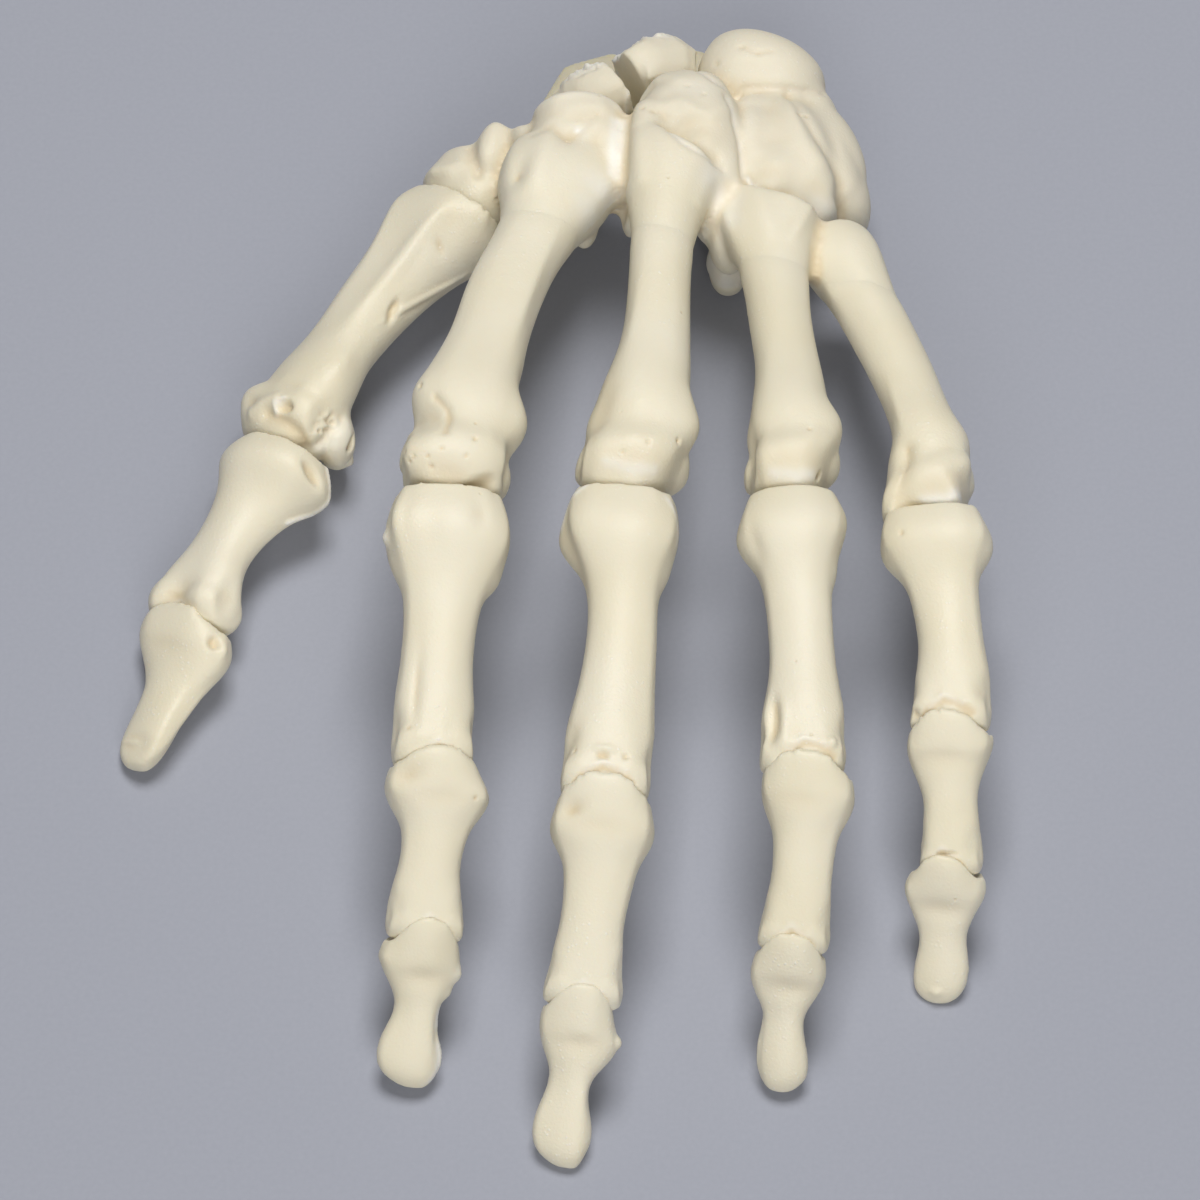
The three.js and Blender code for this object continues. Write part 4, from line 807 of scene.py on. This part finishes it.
root = cut((20, 37, 0), (-0.2, -0.98, 0.0))
forms = {
    "middle_metacarpal": [cut((17.0, 59.6, 0), (0.565, 0.825, 0))],
    "ring_metacarpal": [cut((29.2, 53.2, 0), (0.33, 0.945, 0))],
    "wrist": [
        root,
        # trapezium and trapezoid
        lump((-9.2, 64.0, 14.8), (3.2, 5.0, 5.0), -25), lump((-15.3, 62.2, 11.3), (3.8, 3.3, 4.5)),
        lump((-4.2, 65.0, 18.3), (2.4, 2.6, 3.2)),
        # between the palm bones of the index and middle finger, and in the root of the gap
        lump((7.6, 61.0, 20.4), (3.8, 7.5, 5.0), 8), lump((8.2, 58.6, 17.4), (3.2, 3.6, 4.6)),
        lump((4.4, 53.4, 14.4), (1.7, 3.4, 3.0), -10), lump((10.7, 54.6, 14.8), (1.2, 2.8, 3.2)),
        # top of the middle palm bone, its corner, and the foot of the capitate
        lump((13.0, 63.0, 22.6), (3.4, 5.6, 5.2)), lump((20.4, 55.4, 22.4), (3.6, 3.2, 4.6), -30),
        lump((21.0, 60.8, 21.6), (4.6, 5.0, 5.6)), lump((16.8, 67.2, 21.4), (4.8, 6.0, 5.4), -20),
        lump((17.4, 64.2, 21.9), (4.4, 4.2, 5.5)),
        # the hamate over the end of the ring palm bone
        lump((30.6, 69.0, 16.6), (6.0, 5.0, 5.4)), lump((29.4, 62.5, 18.0), (4.0, 9.0, 5.8), 4),
        lump((34.0, 64.5, 17.6), (4.6, 9.0, 5.9), 14),
        lump((31.4, 57.6, 18.9), (4.8, 5.8, 5.5), -15), lump((36.4, 56.4, 16.8), (4.2, 5.6, 5.2), 20),
        # the band of the triquetrum
        lump((36.8, 73.6, 13.0), (4.6, 4.0, 5.8)), lump((39.8, 67.4, 13.0), (9.0, 4.8, 6.2), -63),
        lump((42.0, 60.0, 11.2), (6.4, 4.0, 6.2), -85),
        # in the roots of the gaps beside the ring palm bone
        lump((22.8, 53.0, 17.6), (3.2, 4.0, 5.0)), lump((24.8, 49.4, 15.8), (2.8, 4.2, 4.8)),
        lump((34.9, 49.2, 17.2), (2.8, 4.4, 4.0))],
    "thumb_inner_sesamoid": [lump((-31.0, 21.4, 6.2), (2.8, 3.6, 3.4)), cut((-29.2, 22.0, 0), (1, 0.2, 0))],
    "thumb_metacarpal": [lump((-31.2, 21.2, 9.0), (3.0, 4.7, 3.9), 10)],
    "scaphoid_proximal_fragment": [
        lump((12.6, 79.4, 16.0), (5.8, 5.2, 5.5)), cut((8.6, 80.3, 19.0), (-0.48, 0.72, 0.5)),
        cut((9.2, 80.2, 0), (-0.83, -0.56, 0.0))],
    "scaphoid_distal_fragment": [
        lump((1.8, 73.4, 13.6), (4.4, 4.0, 4.4), 20), cut((7.0, 78.8, 18.0), (0.79, 0.615, 0.0)),
        cut((2.8, 77.6, 18.4), (-0.45, 0.55, 0.7)), lump((5.4, 78.6, 16.0), (1.4, 1.6, 3.0), 30)],
    "carpal_backing": [
        lump((4.5, 80.5, 7.3), (8.6, 8.6, 8.0)), cut((0, 0, 10.6), (0, 0, 1)), cut((0, 0, 4.0), (0, 0, -1)),
        cut((1.1, 85.0, 0), (-0.9, 0.43, 0)), cut((1.1, 85.0, 0), (-0.32, 0.95, 0))],
}


def remeshed(piece, voxel, rounds=0):
    applied(piece, "REMESH", mode="VOXEL", voxel_size=voxel * mm, adaptivity=0)
    if rounds:
        applied(piece, "SMOOTH", factor=0.5, iterations=rounds)


def joined(pieces):
    alone(pieces[0])
    for piece in pieces:
        piece.select_set(True)
    bpy.ops.object.join()
    return pieces[0]


# joins the lumps on and makes the cuts, in turn. Loose lumps are melted in before a cut is made
def shaped(piece, steps, voxel):
    loose = False
    for step in steps:
        if "lump" in step:
            turn = (0, 0, math.radians(step["turn"]))
            bpy.ops.object.select_all(action="DESELECT")
            bpy.ops.mesh.primitive_uv_sphere_add(segments=24, ring_count=14, radius=mm, rotation=turn,
                                                 location=Vector(step["lump"]) * mm, scale=step["size"])
            extra = bpy.context.object
            bpy.ops.object.transform_apply()
            joined([piece, extra])
            loose = True
            continue
        if loose:
            remeshed(piece, voxel)
            loose = False
        alone(piece)
        bpy.ops.object.mode_set(mode="EDIT")
        bpy.ops.mesh.select_all(action="SELECT")
        bpy.ops.mesh.bisect(plane_co=Vector(step["cut"]) * mm, plane_no=step["away"], use_fill=True,
                            clear_outer=True)
        bpy.ops.object.mode_set(mode="OBJECT")


def rounded(piece, corner):
    creased(piece, corner)
    applied(piece, "SUBSURF", levels=2, render_levels=2)


def ramp(values, start, end):
    part = np.clip((values - start) / (end - start), 0, 1)
    return part * part * (3 - 2 * part)


# how far past the cut at the roots of the palm bones, in mm, each change sets in and is complete
rootBands = {"tuck": (2, 14), "edge": (0, 10), "carving": (7, 12), "tone": (10, 27)}


def pastRoot(place, change):
    past = -(place - np.array(root["cut"])) @ np.array(root["away"])
    return ramp(past, *rootBands[change])


# a copy of a CAD node with its sides moved and its own lumps and cuts made
def formed(name, node, look):
    piece = copyOf(name, node)
    if node in sides:
        widened(piece, node, widening)
    shaped(piece, forms.get(node, []), look["voxel"])
    return piece


def camelCase(words):
    first, *rest = words.split("_")
    return first + "".join(word.capitalize() for word in rest)


def makeBone(node, look):
    piece = formed(camelCase(node), node, look)
    rounded(piece, look["corner"])
    remeshed(piece, look["voxel"], look["rounds"])
    skin = LongBone(piece, node) if node.endswith(("metacarpal", "phalanx")) else Skin(piece)
    skin.place += skin.normal * look["brokenSwell" if node in brokenBone else "swell"]
    if node in palmBones:  # their roots go in under the skin of the wrist
        skin.place -= skin.normal * (look["tuck"] * pastRoot(skin.place, "tuck"))[:, None]
    skin.readNormals()
    skin.carve(carving.get(node, []))
    skin.finish(look["hollow"])
    alone(piece)
    bpy.ops.object.shade_smooth()
    return piece


slotOf = {row["node"]: row["material_slot"] for row in frame["record"]["subparts"]}
bodyOf = {node: body for body, nodes in frame["record"]["behaviour"]["bodies"].items() for node in nodes}
finishes = {"cast_bone": castBone, "wrist_bone": wristBone, "clear_backing": backingLook,
            "elastic": elasticLook}

for node, slotName in slotOf.items():
    if slotName == "elastic":
        frame["nodes"][node].data.materials.clear()
        frame["nodes"][node].data.materials.append(finishes[slotName])
    elif node not in wristBones:
        piece = makeBone(node, boneSkin)
        piece.data.materials.append(finishes[slotName])
        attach(piece, bodyOf[node])
        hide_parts(node)
print("bones made")

# the wrist is one casting: its six bones, the roots of the palm bones and the glue between them. Narrow
# gaps are closed by swelling the whole before it is remeshed, and most of that is taken off again after
wristLook = {"voxel": 0.42, "corner": 28, "firstRounds": 4, "closing": 0.5, "rounds": 12, "swell": 0.12,
             "edge": 0.3, "hollow": 0.16}


def makeWrist(look):
    wrist = joined([formed("wristCast", node, look) for node in wristBones + palmBones])
    rounded(wrist, look["corner"])
    remeshed(wrist, look["voxel"])
    shaped(wrist, forms["wrist"], look["voxel"])
    remeshed(wrist, look["voxel"], look["firstRounds"])
    skin = Skin(wrist)
    skin.place += skin.normal * look["closing"]
    skin.readNormals()
    remeshed(wrist, look["voxel"], look["rounds"])
    skin = Skin(wrist)
    edge = look["edge"] * (1 - pastRoot(skin.place, "edge"))
    skin.place -= skin.normal * (look["closing"] - look["swell"] + edge)[:, None]
    skin.readNormals()
    plain = skin.place.copy()
    skin.carve(wristCarving)
    skin.place = plain + (skin.place - plain) * pastRoot(plain, "carving")[:, None]
    skin.finish(look["hollow"])
    alone(wrist)
    bpy.ops.object.shade_smooth()
    wrist.data.materials.append(wristBone)
    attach(wrist, "palm")
    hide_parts(*wristBones)


makeWrist(wristLook)
print("wrist made")

tableLook = {"size": 6, "drop": 0.00002, "dark": (0.345, 0.36, 0.42), "light": (0.385, 0.40, 0.46),
             "grain": 1400.0, "roughness": 0.8}


def makeTable(look):
    bpy.ops.object.select_all(action="DESELECT")
    bpy.ops.mesh.primitive_plane_add(size=look["size"], location=(0, 0, -look["drop"]))
    table = bpy.context.object
    table.name = "table"
    shop = Shop("table")
    tone = shop.mix(shop.noise(look["grain"], 3.0), look["dark"], look["light"])
    table.data.materials.append(shop.finish({"Base Color": tone, "Roughness": look["roughness"]}))


# two soft lamps and a little light from all round
lamps = {
    "overhead": {"at": (40, 270, 940), "size": 420, "power": 6.9, "colour": (1.0, 0.99, 0.97)},
    "front": {"at": (20, -880, 590), "size": 700, "power": 5.3, "colour": (1.0, 0.99, 0.97)},
}
studio = {"colour": (0.88, 0.90, 0.96, 1), "strength": 0.1}


def makeLamp(name, look):
    bpy.ops.object.light_add(type="AREA", location=Vector(look["at"]) * mm)
    light = bpy.context.object
    light.name = name
    light.data.size = look["size"] * mm
    light.data.energy = look["power"]
    light.data.color = look["colour"]
    light.rotation_euler = (-Vector(look["at"])).to_track_quat("-Z", "Y").to_euler()


def makeWorld(look):
    world = bpy.data.worlds.new("studio")
    bpy.context.scene.world = world
    world.use_nodes = True
    colour, strength = world.node_tree.nodes["Background"].inputs[:2]
    colour.default_value = look["colour"]
    strength.default_value = look["strength"]


makeTable(tableLook)
for name, look in lamps.items():
    makeLamp(name, look)
makeWorld(studio)
print("stage set")
